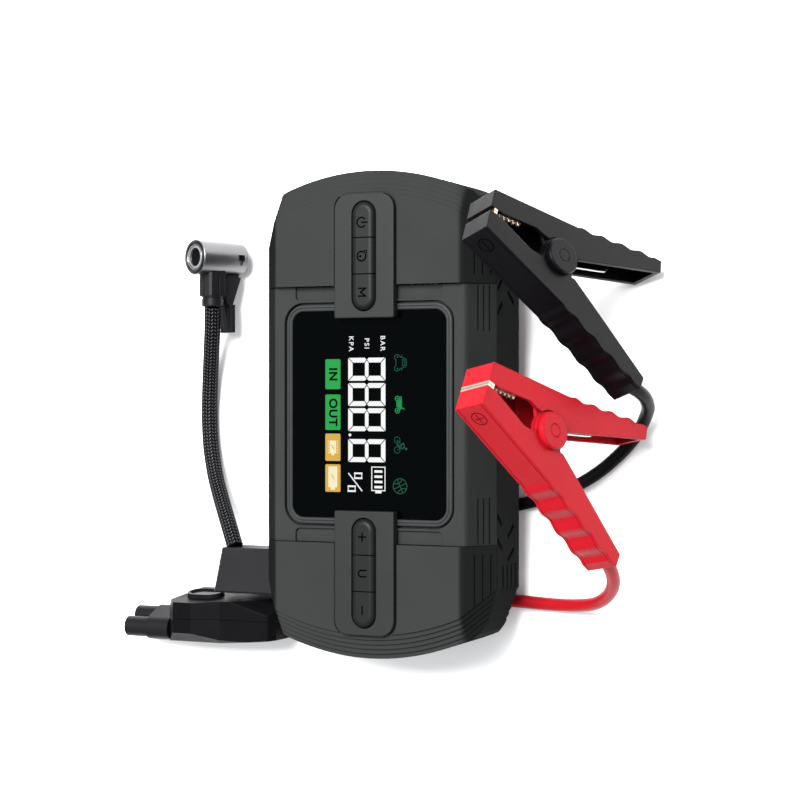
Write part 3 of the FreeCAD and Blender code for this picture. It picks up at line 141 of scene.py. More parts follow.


class Surface:
    """A Principled material and its node tree, with short calls for the nodes it needs."""

    def __init__(self, name, colour, roughness, metallic=0.0, specular=0.5):
        self.material = bpy.data.materials.new(name)
        self.material.use_nodes = True
        self.tree = self.material.node_tree
        self.shader = self.tree.nodes["Principled BSDF"]
        self.colour = colour
        self.roughness = roughness
        self.set("Base Color", (*colour, 1.0))
        self.set("Roughness", roughness)
        self.set("Metallic", metallic)
        self.set("Specular IOR Level", specular)
        self.coords = self.tree.nodes.new("ShaderNodeTexCoord")
        self.normal = None

    def set(self, socket, value):
        self.shader.inputs[socket].default_value = value

    def node(self, kind, **values):
        item = self.tree.nodes.new(kind)
        for key, value in values.items():
            setattr(item, key, value)
        return item

    def link(self, source, target):
        self.tree.links.new(source, target)

    def noise(self, scale, detail=2.0, stretch=(1.0, 1.0, 1.0)):
        mapping = self.node("ShaderNodeMapping")
        mapping.inputs["Scale"].default_value = stretch
        self.link(self.coords.outputs["Object"], mapping.inputs["Vector"])
        noise = self.node("ShaderNodeTexNoise")
        noise.inputs["Scale"].default_value = scale
        noise.inputs["Detail"].default_value = detail
        self.link(mapping.outputs["Vector"], noise.inputs["Vector"])
        return noise.outputs["Fac"]

    def ramp(self, source, low, high, start=0.3, end=0.7):
        ramp = self.node("ShaderNodeValToRGB")
        ramp.color_ramp.elements[0].position = start
        ramp.color_ramp.elements[1].position = end
        ramp.color_ramp.elements[0].color = (*low, 1.0)
        ramp.color_ramp.elements[1].color = (*high, 1.0)
        self.link(source, ramp.inputs["Fac"])
        return ramp.outputs["Color"]

    def vary_colour(self, scale, amount):
        """Faint mottling of the base colour, by a share of it each way."""
        low = tuple(c * (1.0 - amount) for c in self.colour)
        high = tuple(min(1.0, c * (1.0 + amount)) for c in self.colour)
        self.link(self.ramp(self.noise(scale, 3.0), low, high), self.shader.inputs["Base Color"])
        return self

    def vary_roughness(self, scale, amount, detail=2.0, stretch=(1.0, 1.0, 1.0)):
        low = max(0.02, self.roughness - amount)
        high = min(1.0, self.roughness + amount)
        grey = self.ramp(self.noise(scale, detail, stretch), (low,) * 3, (high,) * 3)
        self.link(grey, self.shader.inputs["Roughness"])
        return self

    def paint_side_shade(self, half_width, left_shade, right_shade):
        """Painted shade on the side faces: the colour drops to a darker tone beyond the flat front's half
        width, on each side.
        """
        split = self.node("ShaderNodeSeparateXYZ")
        self.link(self.coords.outputs["Object"], split.inputs["Vector"])
        place = self.node("ShaderNodeMath", operation="MULTIPLY_ADD")
        place.inputs[1].default_value = SIDE_SCALE
        place.inputs[2].default_value = 0.5
        self.link(split.outputs["Y"], place.inputs[0])
        mask = self.node("ShaderNodeValToRGB")
        elements = mask.color_ramp.elements
        elements[0].position = 0.5 - SIDE_SCALE * (half_width + SIDE_FADE)
        elements[0].color = (left_shade,) * 3 + (1.0,)
        elements[1].position = 0.5 + SIDE_SCALE * (half_width + SIDE_FADE)
        elements[1].color = (right_shade,) * 3 + (1.0,)
        elements.new(0.5 - SIDE_SCALE * half_width).color = (1.0, 1.0, 1.0, 1.0)
        elements.new(0.5 + SIDE_SCALE * half_width).color = (1.0, 1.0, 1.0, 1.0)
        self.link(place.outputs["Value"], mask.inputs["Fac"])
        mix = self.node("ShaderNodeMix", data_type="RGBA", blend_type="MULTIPLY")
        mix.inputs["Factor"].default_value = 1.0
        socket = self.shader.inputs["Base Color"]
        self.link(socket.links[0].from_socket, mix.inputs["A"])
        self.link(mask.outputs["Color"], mix.inputs["B"])
        self.link(mix.outputs["Result"], socket)
        return self

    def bump(self, source, strength, distance):
        bump = self.node("ShaderNodeBump")
        bump.inputs["Strength"].default_value = strength
        bump.inputs["Distance"].default_value = distance
        self.link(source, bump.inputs["Height"])
        if self.normal:
            self.link(self.normal, bump.inputs["Normal"])
        self.normal = bump.outputs["Normal"]
        self.link(self.normal, self.shader.inputs["Normal"])
        return self

    def soft_edges(self, radius):
        bevel = self.node("ShaderNodeBevel", samples=4)
        bevel.inputs["Radius"].default_value = radius
        self.normal = bevel.outputs["Normal"]
        self.link(self.normal, self.shader.inputs["Normal"])
        return self


def moulded(name, colour, roughness=0.5, grain=3200.0, strength=0.25, edge=0.0004, specular=0.09, sides=None):
    """Spark-textured moulded plastic: fine grain, faint mottling and softened edges; given sides, painted
    shade on the side faces.
    """
    surface = Surface(name, colour, roughness, specular=specular)
    surface.soft_edges(edge)
    surface.vary_colour(38.0, 0.05)
    if sides:
        surface.paint_side_shade(*sides)
    surface.vary_roughness(160.0, 0.05)
    return surface.bump(surface.noise(grain, 1.0), strength, 0.00006).material


def rubbery(name, colour, roughness=0.62, specular=0.1):
    """Soft rubber or matt print: a fine even grain and a low sheen."""
    surface = Surface(name, colour, roughness, specular=specular)
    surface.soft_edges(0.0003)
    surface.vary_colour(60.0, 0.08)
    return surface.bump(surface.noise(2200.0, 2.0), 0.2, 0.00008).material


def brushed(name, colour, roughness=0.28, stretch=(1.0, 1.0, 40.0), scale=900.0):
    """Metal with fine lines across the stretched axes."""
    surface = Surface(name, colour, roughness, metallic=1.0)
    surface.soft_edges(0.0003)
    lines = surface.noise(scale, 3.0, stretch)
    low = tuple(c * 0.82 for c in colour)
    surface.link(surface.ramp(lines, low, colour), surface.shader.inputs["Base Color"])
    surface.vary_roughness(scale, 0.09, 3.0, stretch)
    return surface.bump(lines, 0.12, 0.00003).material


def cast_metal(name, colour, roughness=0.45):
    """Metal with the fine pitting of a casting."""
    surface = Surface(name, colour, roughness, metallic=1.0)
    surface.soft_edges(0.0003)
    surface.vary_colour(120.0, 0.1)
    return surface.bump(surface.noise(1500.0, 3.0), 0.3, 0.00008).material


def polished_black(name, colour):
    """Dark glass or gloss plastic, very slightly wavy."""
    surface = Surface(name, colour, 0.06, specular=0.02)
    surface.soft_edges(0.0003)
    surface.vary_roughness(25.0, 0.015)
    return surface.bump(surface.noise(14.0, 1.0), 0.02, 0.0002).material


def glowing(name, colour):
    """A lit display segment: it gives its own light and reflects next to nothing."""
    surface = Surface(name, (0.001, 0.001, 0.001), 0.5, specular=0.02)
    surface.set("Emission Strength", 1.0)
    low = tuple(c * 0.97 for c in colour)
    surface.link(surface.ramp(surface.noise(300.0), low, colour), surface.shader.inputs["Emission Color"])
    return surface.material


def foil(name, colour):
    """The crinkled wrap of a pouch cell."""
    surface = Surface(name, colour, 0.3, metallic=0.9)
    surface.soft_edges(0.0003)
    surface.vary_colour(90.0, 0.08)
    return surface.bump(surface.noise(260.0, 4.0), 0.35, 0.0003).material


MATERIALS = {
    # the sides' tones darken the side faces of housing and cap as painted shade
    "housing": moulded("housing", (0.0197, 0.0208, 0.0206), 0.5, specular=0.0, sides=(0.0432, 0.45, 0.59)),
    "cap": moulded("cap", (0.0184, 0.0195, 0.0192), 0.5, specular=0.0, sides=(0.0412, 0.36, 0.35)),
    "bridge": moulded("bridge", (0.0118, 0.0124, 0.0124), 0.46),
    "button": rubbery("button", (0.0046, 0.0049, 0.0050), 0.42),
    "bezel": moulded("bezel", (0.0187, 0.01997, 0.01997), 0.4),
    "lens": polished_black("lens", (0.0002, 0.0004, 0.0005)),
    "panel": polished_black("panel", (0.004, 0.005, 0.006)),
    "board": moulded("board", (0.015, 0.11, 0.045), 0.4, grain=900.0),
    "cell": foil("cell", (0.7, 0.71, 0.74)),
    "tray": moulded("tray", (0.12, 0.12, 0.13), 0.5),
    "cast": cast_metal("cast", (0.6, 0.61, 0.63)),
    "steel": brushed("steel", (0.06, 0.06, 0.062), 0.4),
    "socket": moulded("socket", (0.02, 0.02, 0.022), 0.45),
    "socket_blue": moulded("socket_blue", (0.012, 0.04, 0.2), 0.4),
    "brass": brushed("brass", (0.75, 0.52, 0.22), 0.25),
    "soft_black": rubbery("soft_black", (0.0077, 0.0077, 0.0088), 0.5),
    "foot": rubbery("foot", (0.011, 0.011, 0.0121), 0.7),
    "dark_plastic": moulded("dark_plastic", (0.00495, 0.00495, 0.00578), 0.38),
    "chuck_metal": brushed("chuck_metal", (0.165, 0.165, 0.171), 0.36, (1.0, 30.0, 30.0), 700.0),
    "mouth_face": cast_metal("mouth_face", (0.02, 0.02, 0.021), 0.4),
    "module": moulded("module", (0.0016, 0.0016, 0.0021), 0.42, strength=0.12, edge=0.0006, specular=0.04),
    "indicator": polished_black("indicator", (0.006, 0.006, 0.007)),
    "clamp_black": moulded("clamp_black", (0.0015, 0.0014, 0.0019), 0.34, 2600.0, 0.12, 0.0006, 0.08),
    "clamp_red": moulded("clamp_red", (0.26, 0.0042, 0.009), 0.32, 2600.0, 0.12, 0.0006, 0.06),
    "copper": brushed("copper", (0.595, 0.434, 0.35), 0.3),
    "spring": brushed("spring", (0.42, 0.42, 0.432), 0.2),
    "lead_black": rubbery("lead_black", (0.0022, 0.0022, 0.0026), 0.35, specular=0.05),
    "lead_red": rubbery("lead_red", (0.24, 0.004, 0.008), 0.38),
}
INK = {
    "white": glowing("glow_white", (0.96, 0.97, 0.97)),
    "green": glowing("glow_green", (0.024, 0.4, 0.078)),
    "amber": glowing("glow_amber", (0.72, 0.44, 0.08)),
    "cream": glowing("glow_cream", (0.95, 0.86, 0.58)),
    "icon": glowing("glow_icon", (0.012, 0.11, 0.06)),
    "icon_bright": glowing("glow_icon_bright", (0.01, 0.28, 0.085)),
    "dark": rubbery("print_dark", (0.0006, 0.0009, 0.0008), 0.9, specular=0.0),
    "symbol": rubbery("print_symbol", (0.0004, 0.0004, 0.0004), 0.9, specular=0.0),
    "red_mark": rubbery("print_red_mark", (0.06, 0.002, 0.004), 0.8, specular=0.0),
    "grey": moulded("mouth_ring", (0.13, 0.13, 0.13), 0.4),
}


def dress_nodes():
    """Give every CAD node the material of its slot in the record."""
    slots = {entry["node"]: entry["material_slot"] for entry in frame["record"]["subparts"]}
    for name, obj in NODES.items():
        obj.data.materials.clear()
        obj.data.materials.append(MATERIALS[slots[name]])
    NODES["chuck_seal"].data.materials[0] = INK["grey"]


# ---------------------------------------------------------------- mesh helpers

def new_object(name, mesh, material, body):
    obj = bpy.data.objects.new(name, mesh)
    bpy.context.scene.collection.objects.link(obj)
    obj.data.materials.append(material)
    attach(obj, body)
    return obj


def mesh_piece(name, verts, faces, material, body, smooth=False, transform=None):
    mesh = bpy.data.meshes.new(name)
    mesh.from_pydata([tuple(v) for v in verts], [], faces)
    if transform is not None:
        mesh.transform(transform)
    if smooth:
        mesh.shade_smooth()
    mesh.update()
    return new_object(name, mesh, material, body)


def sweep(path, radius_at, sides):
    """Vertices and faces of a closed tube round a list of points; radius_at gives each ring's radius."""
    verts, faces = [], []
    side_axis = None
    for index, point in enumerate(path):
        ahead = path[min(index + 1, len(path) - 1)]
        behind = path[max(index - 1, 0)]
        forward = (ahead - behind).normalized()
        if side_axis is None:
            helper = Vector((0, 0, 1)) if abs(forward.z) < 0.9 else Vector((1, 0, 0))
            side_axis = forward.cross(helper).normalized()
        side_axis = (side_axis - forward * side_axis.dot(forward)).normalized()
        other = forward.cross(side_axis)
        for step in range(sides):
            angle = 2 * math.pi * step / sides
            reach = radius_at(index, angle)
            verts.append(point + side_axis * (math.cos(angle) * reach) + other * (math.sin(angle) * reach))
    for ring in range(len(path) - 1):
        for step in range(sides):
            a = ring * sides + step
            b = ring * sides + (step + 1) % sides
            faces.append((a, b, b + sides, a + sides))
    faces.append(tuple(reversed(range(sides))))
    faces.append(tuple(range((len(path) - 1) * sides, len(path) * sides)))
    return verts, faces


# ---------------------------------------------------------------- hose and leads

HOSE_RADIUS = 3.7 * MM
LEAD_RADIUS = 2.75 * MM
# each route's points are in millimetres; the hose's go from its root to the chuck
HOSE_ROUTE = [
    (59.0, -77.7, 25.5), (50.0, -83.0, 21.6), (39.5, -91.0, 14.0), (28.0, -98.2, 7.6),
    (14.0, -102.4, 4.4), (-2.0, -103.4, 3.7), (-17.5, -101.2, 6.4), (-29.8, -97.5, 11.9),
    (-39.7, -94.7, 15.9), (-47.9, -93.4, 18.06),
]
# the leads' go from the clamp, under the housing, to the module
LEAD_ROUTES = {
    "black": [
        (-11.39, 107.62, 36.94), (-9.1, 110.8, 30.3), (-3.8, 110.0, 18.3), (0.5, 106.5, 10.5),
        (7.5, 101.5, 5.2), (15.5, 94.5, 3.8), (26.0, 82.0, 3.4), (35.0, 64.0, 3.2), (39.5, 44.0, 3.2),
        (43.0, 24.0, 3.2), (53.0, 3.0, 3.2), (66.0, -17.0, 3.2), (77.0, -36.0, 3.3), (84.0, -49.0, 3.8),
        (86.0, -57.9, 5.0),
    ],
    "red": [
        (57.4, 99.41, 43.49), (62.6, 100.7, 36.5), (71.5, 96.9, 24.6), (78.3, 87.2, 15.0), (80.2, 74.0, 8.0),
        (80.4, 60.5, 3.9), (79.6, 45.0, 3.2), (80.6, 29.0, 3.2), (84.0, 8.0, 3.2), (88.5, -13.0, 3.2),
        (93.0, -32.0, 3.2), (95.5, -47.0, 3.7), (96.0, -57.9, 5.0),
    ],
}


def route_curve(name, route, radius):
    """One smooth spline with the route's points as control points."""
    curve = bpy.data.curves.new(name, "CURVE")
    curve.dimensions = "3D"
    curve.bevel_depth = radius
    curve.bevel_resolution = 6
    curve.resolution_u = 24
    curve.use_fill_caps = True
    spline = curve.splines.new("NURBS")
    spline.points.add(len(route) - 1)
    for point, place in zip(spline.points, route):
        point.co = (*[c * MM for c in place], 1.0)
    spline.order_u = 3
    spline.use_endpoint_u = True
    return curve


def spline_points(route):
    """Points along the smooth spline of a route."""
    curve = route_curve("route_reader", route, 0.0)
    obj = bpy.data.objects.new("route_reader", curve)
    bpy.context.scene.collection.objects.link(obj)
    mesh = bpy.data.meshes.new_from_object(obj)
    points = [v.co.copy() for v in mesh.vertices]
    bpy.data.objects.remove(obj)
    bpy.data.meshes.remove(mesh)
    return points


def even_points(points, step):
    """The same line with points a constant distance apart."""
    result = [points[0]]
    need = step
    for a, b in zip(points, points[1:]):
        length = (b - a).length
        while need <= length:
            a = a.lerp(b, need / length)
            length = (b - a).length
            result.append(a.copy())
            need = step
        need -= length
    result.append(points[-1])
    return result


def braid_material():
    """Braided sleeve: near-black yarn with pale flecks that follow the weave."""
    surface = Surface("braid", (0.03, 0.03, 0.034), 0.5, specular=0.04)
    fleck = surface.node("ShaderNodeAttribute", attribute_name="fleck")
    fine = surface.noise(5200.0, 2.0)
    colour = surface.ramp(fleck.outputs["Fac"], (0.0006, 0.0006, 0.0008), (0.17, 0.17, 0.185), 0.4, 1.0)
    surface.link(colour, surface.shader.inputs["Base Color"])
    return surface.bump(fine, 0.4, 0.00008).material


MATERIALS["braid"] = braid_material()
BRAID_YARNS = 16                # bundles in each direction round the hose
BRAID_PITCH = 26.0 * MM         # length in which a bundle goes once round
BRAID_RELIEF = 0.28 * MM
BRAID_STEP = 0.3 * MM           # between the rings of the hose's mesh
BRAID_SIDES = 112


def make_hose():
    """The braided hose: crossing bundles of yarn stand out of its surface and carry the flecks."""
    points = even_points(spline_points(HOSE_ROUTE), BRAID_STEP)

    def weave(index, angle):
        """Height of the bundles that wind each way, and which of them lies on top there."""
        along = index * BRAID_STEP / BRAID_PITCH * 2 * math.pi
        right_turn = BRAID_YARNS * (angle + along)
        left_turn = BRAID_YARNS * (angle - along)
        over = math.sin(BRAID_YARNS * angle / 2)
        return math.cos(right_turn / 2) ** 2, math.cos(left_turn / 2) ** 2, over

    def radius_at(index, angle):
        right, left, over = weave(index, angle)
        height = max(right * (0.75 + 0.25 * over), left * (0.75 - 0.25 * over))
        return HOSE_RADIUS - BRAID_RELIEF * (1.0 - height)

    verts, faces = sweep(points, radius_at, BRAID_SIDES)
    hose = mesh_piece("hose_braid", verts, faces, MATERIALS["braid"], "housing", smooth=True)
    layer = hose.data.attributes.new("fleck", "FLOAT", "POINT")
    values = []
    for index in range(len(points)):
        for side in range(BRAID_SIDES):
            right, left, over = weave(index, 2 * math.pi * side / BRAID_SIDES)
            values.append(right ** 3 * max(0.0, over) + left ** 3 * max(0.0, -over))
    layer.data.foreach_set("value", values)
    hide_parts("air_hose")


def make_leads():
    for colour, route in LEAD_ROUTES.items():
        name, slot = f"{colour}_lead_cable", f"lead_{colour}"
        lead = new_object(name, route_curve(name, route, LEAD_RADIUS), MATERIALS[slot], "housing")
        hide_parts(f"{colour}_lead")
        points = spline_points(route)


# ---------------------------------------------------------------- flat graphics

DISC_SIDES = 28


class Drawing:
    """Flat shapes in millimetres that become one thin plate mesh."""

    def __init__(self):
        self.shapes = []

    def shape(self, *points):
        self.shapes.append([tuple(p) for p in points])

    def rect(self, x0, y0, x1, y1):
        self.shape((x0, y0), (x1, y0), (x1, y1), (x0, y1))

    def round_rect(self, x0, y0, x1, y1, corner):
        points = []
        centres = ((x1 - corner, y1 - corner, 0), (x0 + corner, y1 - corner, 90),
                   (x0 + corner, y0 + corner, 180), (x1 - corner, y0 + corner, 270))
        for cx, cy, start in centres:
            for step in range(7):
                angle = math.radians(start + 15 * step)
                points.append((cx + corner * math.cos(angle), cy + corner * math.sin(angle)))
        self.shape(*points)

    def disc(self, x, y, radius):
        angles = [2 * math.pi * i / DISC_SIDES for i in range(DISC_SIDES)]
        self.shape(*[(x + radius * math.cos(a), y + radius * math.sin(a)) for a in angles])

    def arc(self, x, y, radius, width, start=0.0, end=360.0):
        """A curved stroke of that width, between two angles in degrees."""
        steps = max(6, int(abs(end - start) / 9))
        angles = [math.radians(start + (end - start) * i / steps) for i in range(steps + 1)]
        for a, b in zip(angles, angles[1:]):
            ring = []
            for angle, reach in ((a, radius + width / 2), (b, radius + width / 2),
                                 (b, radius - width / 2), (a, radius - width / 2)):
                ring.append((x + reach * math.cos(angle), y + reach * math.sin(angle)))
            self.shape(*ring)

    def line(self, width, *points):
        """A straight stroke of that width through the points, its ends a little longer."""
        for (xa, ya), (xb, yb) in zip(points, points[1:]):
            length = math.hypot(xb - xa, yb - ya)
            ux, uy = (xb - xa) / length, (yb - ya) / length
            nx, ny = -uy * width / 2, ux * width / 2
            ex, ey = ux * width * 0.4, uy * width * 0.4
            self.shape((xa - ex + nx, ya - ey + ny), (xb + ex + nx, yb + ey + ny),
                       (xb + ex - nx, yb + ey - ny), (xa - ex - nx, ya - ey - ny))

    def piece(self, name, material, body, slot, level, thick=0.05, transform=None):
        """Build the plates standing from the level, in the XY plane or in the plane of a transform."""
        verts, faces = [], []
        for points in self.shapes:
            area = sum(a[0] * b[1] - b[0] * a[1] for a, b in zip(points, points[1:] + points[:1]))
            if area < 0:
                points = points[::-1]
            base = len(verts)
            count = len(points)
            verts += [(x * MM, y * MM, level * MM) for x, y in points]
            verts += [(x * MM, y * MM, (level + thick) * MM) for x, y in points]
            faces.append(tuple(base + i for i in reversed(range(count))))
            faces.append(tuple(base + count + i for i in range(count)))
            for i in range(count):
                j = (i + 1) % count
                faces.append((base + i, base + j, base + count + j, base + count + i))
        return mesh_piece(name, verts, faces, material, body, transform=transform)


def lettering(name, text, x, y, height, material, body, level, spread=1.0, bold=0.0):
    """A generic word as a thin solid, its middle at (x, y) and its capitals that high, in millimetres."""
    curve = bpy.data.curves.new(name + "_text", "FONT")
    curve.body = text
    curve.align_x = "CENTER"
    curve.align_y = "CENTER"
    curve.size = height * MM / 0.72
    curve.space_character = spread
    curve.offset = bold * MM
    curve.extrude = 0.025 * MM
    source = bpy.data.objects.new(name + "_text", curve)
    bpy.context.scene.collection.objects.link(source)
    mesh = bpy.data.meshes.new_from_object(source)
    bpy.data.objects.remove(source)
    mesh.materials.clear()
    mesh.transform(Matrix.Translation((x * MM, y * MM, (level + 0.03) * MM)))
    mesh.name = name
    return new_object(name, mesh, material, body)


GLASS_TOP = 52.4
INK_LEVEL = GLASS_TOP + 0.02
DIGIT_SPANS = ((-23.5, -14.0), (-13.0, -3.5), (-2.6, 6.9), (10.2, 19.7))
DIGIT_FOOT, DIGIT_HEAD = -9.2, 7.8
SEGMENT_WIDTH, SEGMENT_GAP = 2.0, 0.17
ROW_FOOT, ROW_HEAD = -19.8, -12.8       # the row of green and amber boxes under the figures


def draw_digit(drawing, x0, x1):
    """A seven-segment figure with every segment lit, in the order top, bottom, middle, sides."""
    y0, y1, thick, gap = DIGIT_FOOT, DIGIT_HEAD, SEGMENT_WIDTH, SEGMENT_GAP
    mid = (y0 + y1) / 2
    half = thick / 2
    for edge, inner in ((y1, y1 - thick), (y0, y0 + thick)):
        drawing.shape((x0 + gap, edge), (x1 - gap, edge),
                      (x1 - thick - gap, inner), (x0 + thick + gap, inner))
    drawing.shape((x0 + 1.1, mid), (x0 + thick + gap, mid + half * 0.8),
                  (x1 - thick - gap, mid + half * 0.8), (x1 - 1.1, mid),
                  (x1 - thick - gap, mid - half * 0.8), (x0 + thick + gap, mid - half * 0.8))
    for side, edge in ((1, y1), (-1, y0)):
        for outer, inward in ((x0, 1), (x1, -1)):
            drawing.shape((outer, edge - side * 2 * gap), (outer, mid + side * 0.9),
                          (outer + inward * 0.75, mid + side * gap),
                          (outer + inward * thick, mid + side * (half * 0.8 + 2 * gap)),
                          (outer + inward * thick, edge - side * (thick + 2 * gap)))


def draw_per_cent(drawing):
    """A per cent sign: a bar between two slotted boxes."""
    drawing.line(0.5, (24.5, -9.0), (31.6, -2.9))
    for x, y in ((24.4, -6.2), (29.8, -9.2)):
        drawing.line(0.7, (x, y), (x, y + 3.2))
        drawing.line(0.7, (x + 2.0, y), (x + 2.0, y + 3.2))
        drawing.line(0.35, (x, y), (x + 2.0, y))
        drawing.line(0.35, (x, y + 3.2), (x + 2.0, y + 3.2))


def draw_gauge(drawing):
    """A battery with four bars."""
    drawing.line(0.4, (21.7, 1.6), (31.4, 1.6), (31.4, 7.6), (21.7, 7.6), (21.7, 1.6))
    drawing.rect(31.5, 3.2, 32.5, 6.0)
    for number in range(4):
        x = 23.0 + 2.15 * number
        drawing.rect(x, 2.8, x + 1.0, 6.4)


def make_panel_piece(drawing, name, ink, lift=0.0):
    drawing.piece(name, INK[ink], "housing", "panel", INK_LEVEL + lift)


def make_panel_word(word, x, y, height, ink, lift, spread, bold):
    lettering(f"display_word_{word.lower()}", word, x, y, height, INK[ink], "housing",
              INK_LEVEL + lift, spread, bold)


def make_display():
    white = Drawing()
    for x0, x1 in DIGIT_SPANS:
        draw_digit(white, x0, x1)
    white.disc(8.5, -8.4, 0.6)
    draw_per_cent(white)
    draw_gauge(white)
    make_panel_piece(white, "display_figures", "white")
    for word, y in (("KPA", -7.9), ("PSI", -0.75), ("BAR", 6.5)):
        make_panel_word(word, -29.4, y, 2.15, "white", 0.0, 1.3, 0.03)
    green = Drawing()
    green.round_rect(-23.0, ROW_FOOT, -10.5, ROW_HEAD, 0.6)
    green.round_rect(-8.3, ROW_FOOT, 6.5, ROW_HEAD, 0.6)
    make_panel_piece(green, "display_green_boxes", "green")
    for word, x in (("IN", -16.7), ("OUT", -0.9)):
        make_panel_word(word, x, -16.3, 3.7, "dark", 0.05, 1.12, 0.16)
    amber = Drawing()
    amber.round_rect(8.0, ROW_FOOT, 19.4, ROW_HEAD, 0.6)
    amber.round_rect(20.8, ROW_FOOT, 32.3, ROW_HEAD, 0.6)
    make_panel_piece(amber, "display_amber_boxes", "amber")
    cream = Drawing()
    cream.round_rect(21.7, -18.4, 30.4, -14.2, 0.4)
    cream.rect(30.4, -17.3, 31.4, -15.3)
    cream.round_rect(10.9, -17.8, 16.3, -14.8, 0.3)
    cream.rect(16.3, -16.9, 17.1, -15.7)
    for number in range(5):
        for y in (-18.6, -14.35):
            cream.rect(10.9 + 1.2 * number, y, 11.5 + 1.2 * number, y + 0.35)
    make_panel_piece(cream, "display_battery_marks", "cream", 0.05)
    marks = Drawing()
    for x in (13.6, 26.0):
        marks.line(0.3, (x - 1.0, -16.9), (x + 0.1, -16.1), (x - 0.1, -16.5), (x + 1.0, -15.7))
    make_panel_piece(marks, "display_spark_marks", "amber", 0.11)
    make_icons()


class Icon(Drawing):
    """A drawing made about its own middle, then turned, scaled and put in its place."""

    def __init__(self, x, y, scale, angle=0.0):
        super().__init__()
        self.x, self.y, self.scale = x, y, scale
        self.cos, self.sin = math.cos(math.radians(angle)), math.sin(math.radians(angle))

    def shape(self, *points):
        super().shape(*[(self.x + self.scale * (x * self.cos - y * self.sin),
                         self.y + self.scale * (x * self.sin + y * self.cos)) for x, y in points])


ICON_PEN = 0.32


def draw_car():
    car = Icon(-21.3, 14.5, 0.82)
    car.line(ICON_PEN, (-3.0, -0.2), (-2.2, 2.6), (-1.4, 3.3), (1.4, 3.3), (2.2, 2.6), (3.0, -0.2))
    car.line(ICON_PEN, (-1.7, 1.2), (-1.2, 2.4), (1.2, 2.4), (1.7, 1.2), (-1.7, 1.2))
    car.line(ICON_PEN, (-3.0, -0.2), (-3.9, -0.9), (-4.1, -2.2), (-3.4, -3.2), (-2.2, -3.2), (-1.6, -2.4),
             (1.6, -2.4), (2.2, -3.2), (3.4, -3.2), (4.1, -2.2), (3.9, -0.9), (3.0, -0.2))
    for side in (-1, 1):
        car.disc(side * 2.9, -1.5, 0.42)
        car.line(ICON_PEN, (side * 2.9, 0.6), (side * 3.9, 0.9))
    return car


def draw_motorcycle():
    cycle = Icon(-4.1, 14.3, 0.88)
    for side in (-1, 1):
        cycle.arc(side * 2.8, -1.2, 1.1, 0.5)
        cycle.disc(side * 2.8, -1.2, 0.45)
    cycle.shape((-2.9, -0.3), (-1.6, 1.0), (1.2, 1.1), (1.9, 0.2), (1.0, -1.7), (-1.2, -1.8))
    cycle.line(0.6, (-3.7, 0.6), (-1.4, 0.8))
    cycle.line(0.5, (2.8, -1.2), (1.5, 1.5), (2.2, 2.2))
    return cycle


def draw_bicycle():
    """A bicycle with its rider."""
    bike = Icon(12.5, 14.4, 0.82)
    for side in (-1, 1):
        bike.arc(side * 2.5, -1.6, 1.6, 0.28)
    bike.line(0.28, (-2.5, -1.6), (-0.7, 0.5), (1.5, 0.7), (0.1, -1.6), (-2.5, -1.6))
    bike.line(0.28, (2.5, -1.6), (1.3, 1.2))
    bike.line(0.5, (-1.0, 1.9), (1.1, 2.4), (1.9, 1.0))
    bike.line(0.5, (-1.0, 1.9), (0.4, 0.3), (-0.1, -1.4))
    bike.disc(1.9, 3.3, 0.65)
    return bike


def draw_ball():
    ball = Icon(29.4, 14.4, 1.0, 24)
    reach = 3.1
    ball.arc(0, 0, reach, ICON_PEN)
    ball.line(ICON_PEN, (-reach, 0), (reach, 0))
    ball.line(ICON_PEN, (0, -reach), (0, reach))
    for side in (-1, 1):
        middle = 90 + side * 90
        ball.arc(side * 4.2, 0, 2.9, ICON_PEN, middle - 44, middle + 44)
    return ball


def make_icons():
    make_panel_piece(draw_motorcycle(), "display_motorcycle", "icon_bright")
    make_panel_piece(draw_car(), "display_car", "icon")
    make_panel_piece(draw_bicycle(), "display_bicycle", "icon")
    make_panel_piece(draw_ball(), "display_ball", "icon")


# ---------------------------------------------------------------- button symbols

BUTTON_TOP = 58.4
BUTTON_PLACES = {"power": -80.3, "timer": -65.3, "mode": -50.3, "plus": 50.3, "unit": 65.3, "minus": 80.3}


def make_symbols():
    for name, x in BUTTON_PLACES.items():
        body = f"button_{name}_key"
        level = BUTTON_TOP - 0.01
        drawing = Drawing()
        if name == "power":
            x += 1.3
            drawing.arc(x, -0.3, 2.0, 0.6, 125, 415)
            drawing.line(0.6, (x, -0.2), (x, 2.3))
        elif name == "timer":
            drawing.arc(x + 0.2, -0.3, 1.95, 0.62, 150, 475)
            drawing.arc(x - 1.5, 1.5, 0.6, 0.4)
            drawing.shape((x + 0.8, -0.5), (x - 0.5, -0.4), (x + 0.3, -1.9))
        elif name == "plus":
            drawing.line(0.62, (x - 1.6, 0), (x + 1.6, 0))
            drawing.line(0.62, (x, -1.6), (x, 1.6))
        elif name == "minus":
            drawing.line(0.62, (x - 1.5, 0), (x + 1.5, 0))
        elif name == "mode":
            drawing.line(0.62, (x - 1.6, -1.7), (x - 1.6, 1.5), (x, -0.7), (x + 1.6, 1.5), (x + 1.6, -1.7))
        else:
            drawing.line(0.6, (x - 1.3, 1.7), (x - 1.3, -0.4))
            drawing.arc(x, -0.4, 1.3, 0.6, 180, 360)
            drawing.line(0.6, (x + 1.3, -0.4), (x + 1.3, 1.7))
        drawing.piece(f"symbol_{name}", INK["symbol"], body, "button", level, 0.06)


# ---------------------------------------------------------------- clamps

def turn(yaw, pitch, roll):
    return (Matrix.Rotation(math.radians(yaw), 4, "Z") @ Matrix.Rotation(math.radians(pitch), 4, "Y")
            @ Matrix.Rotation(math.radians(roll), 4, "X"))


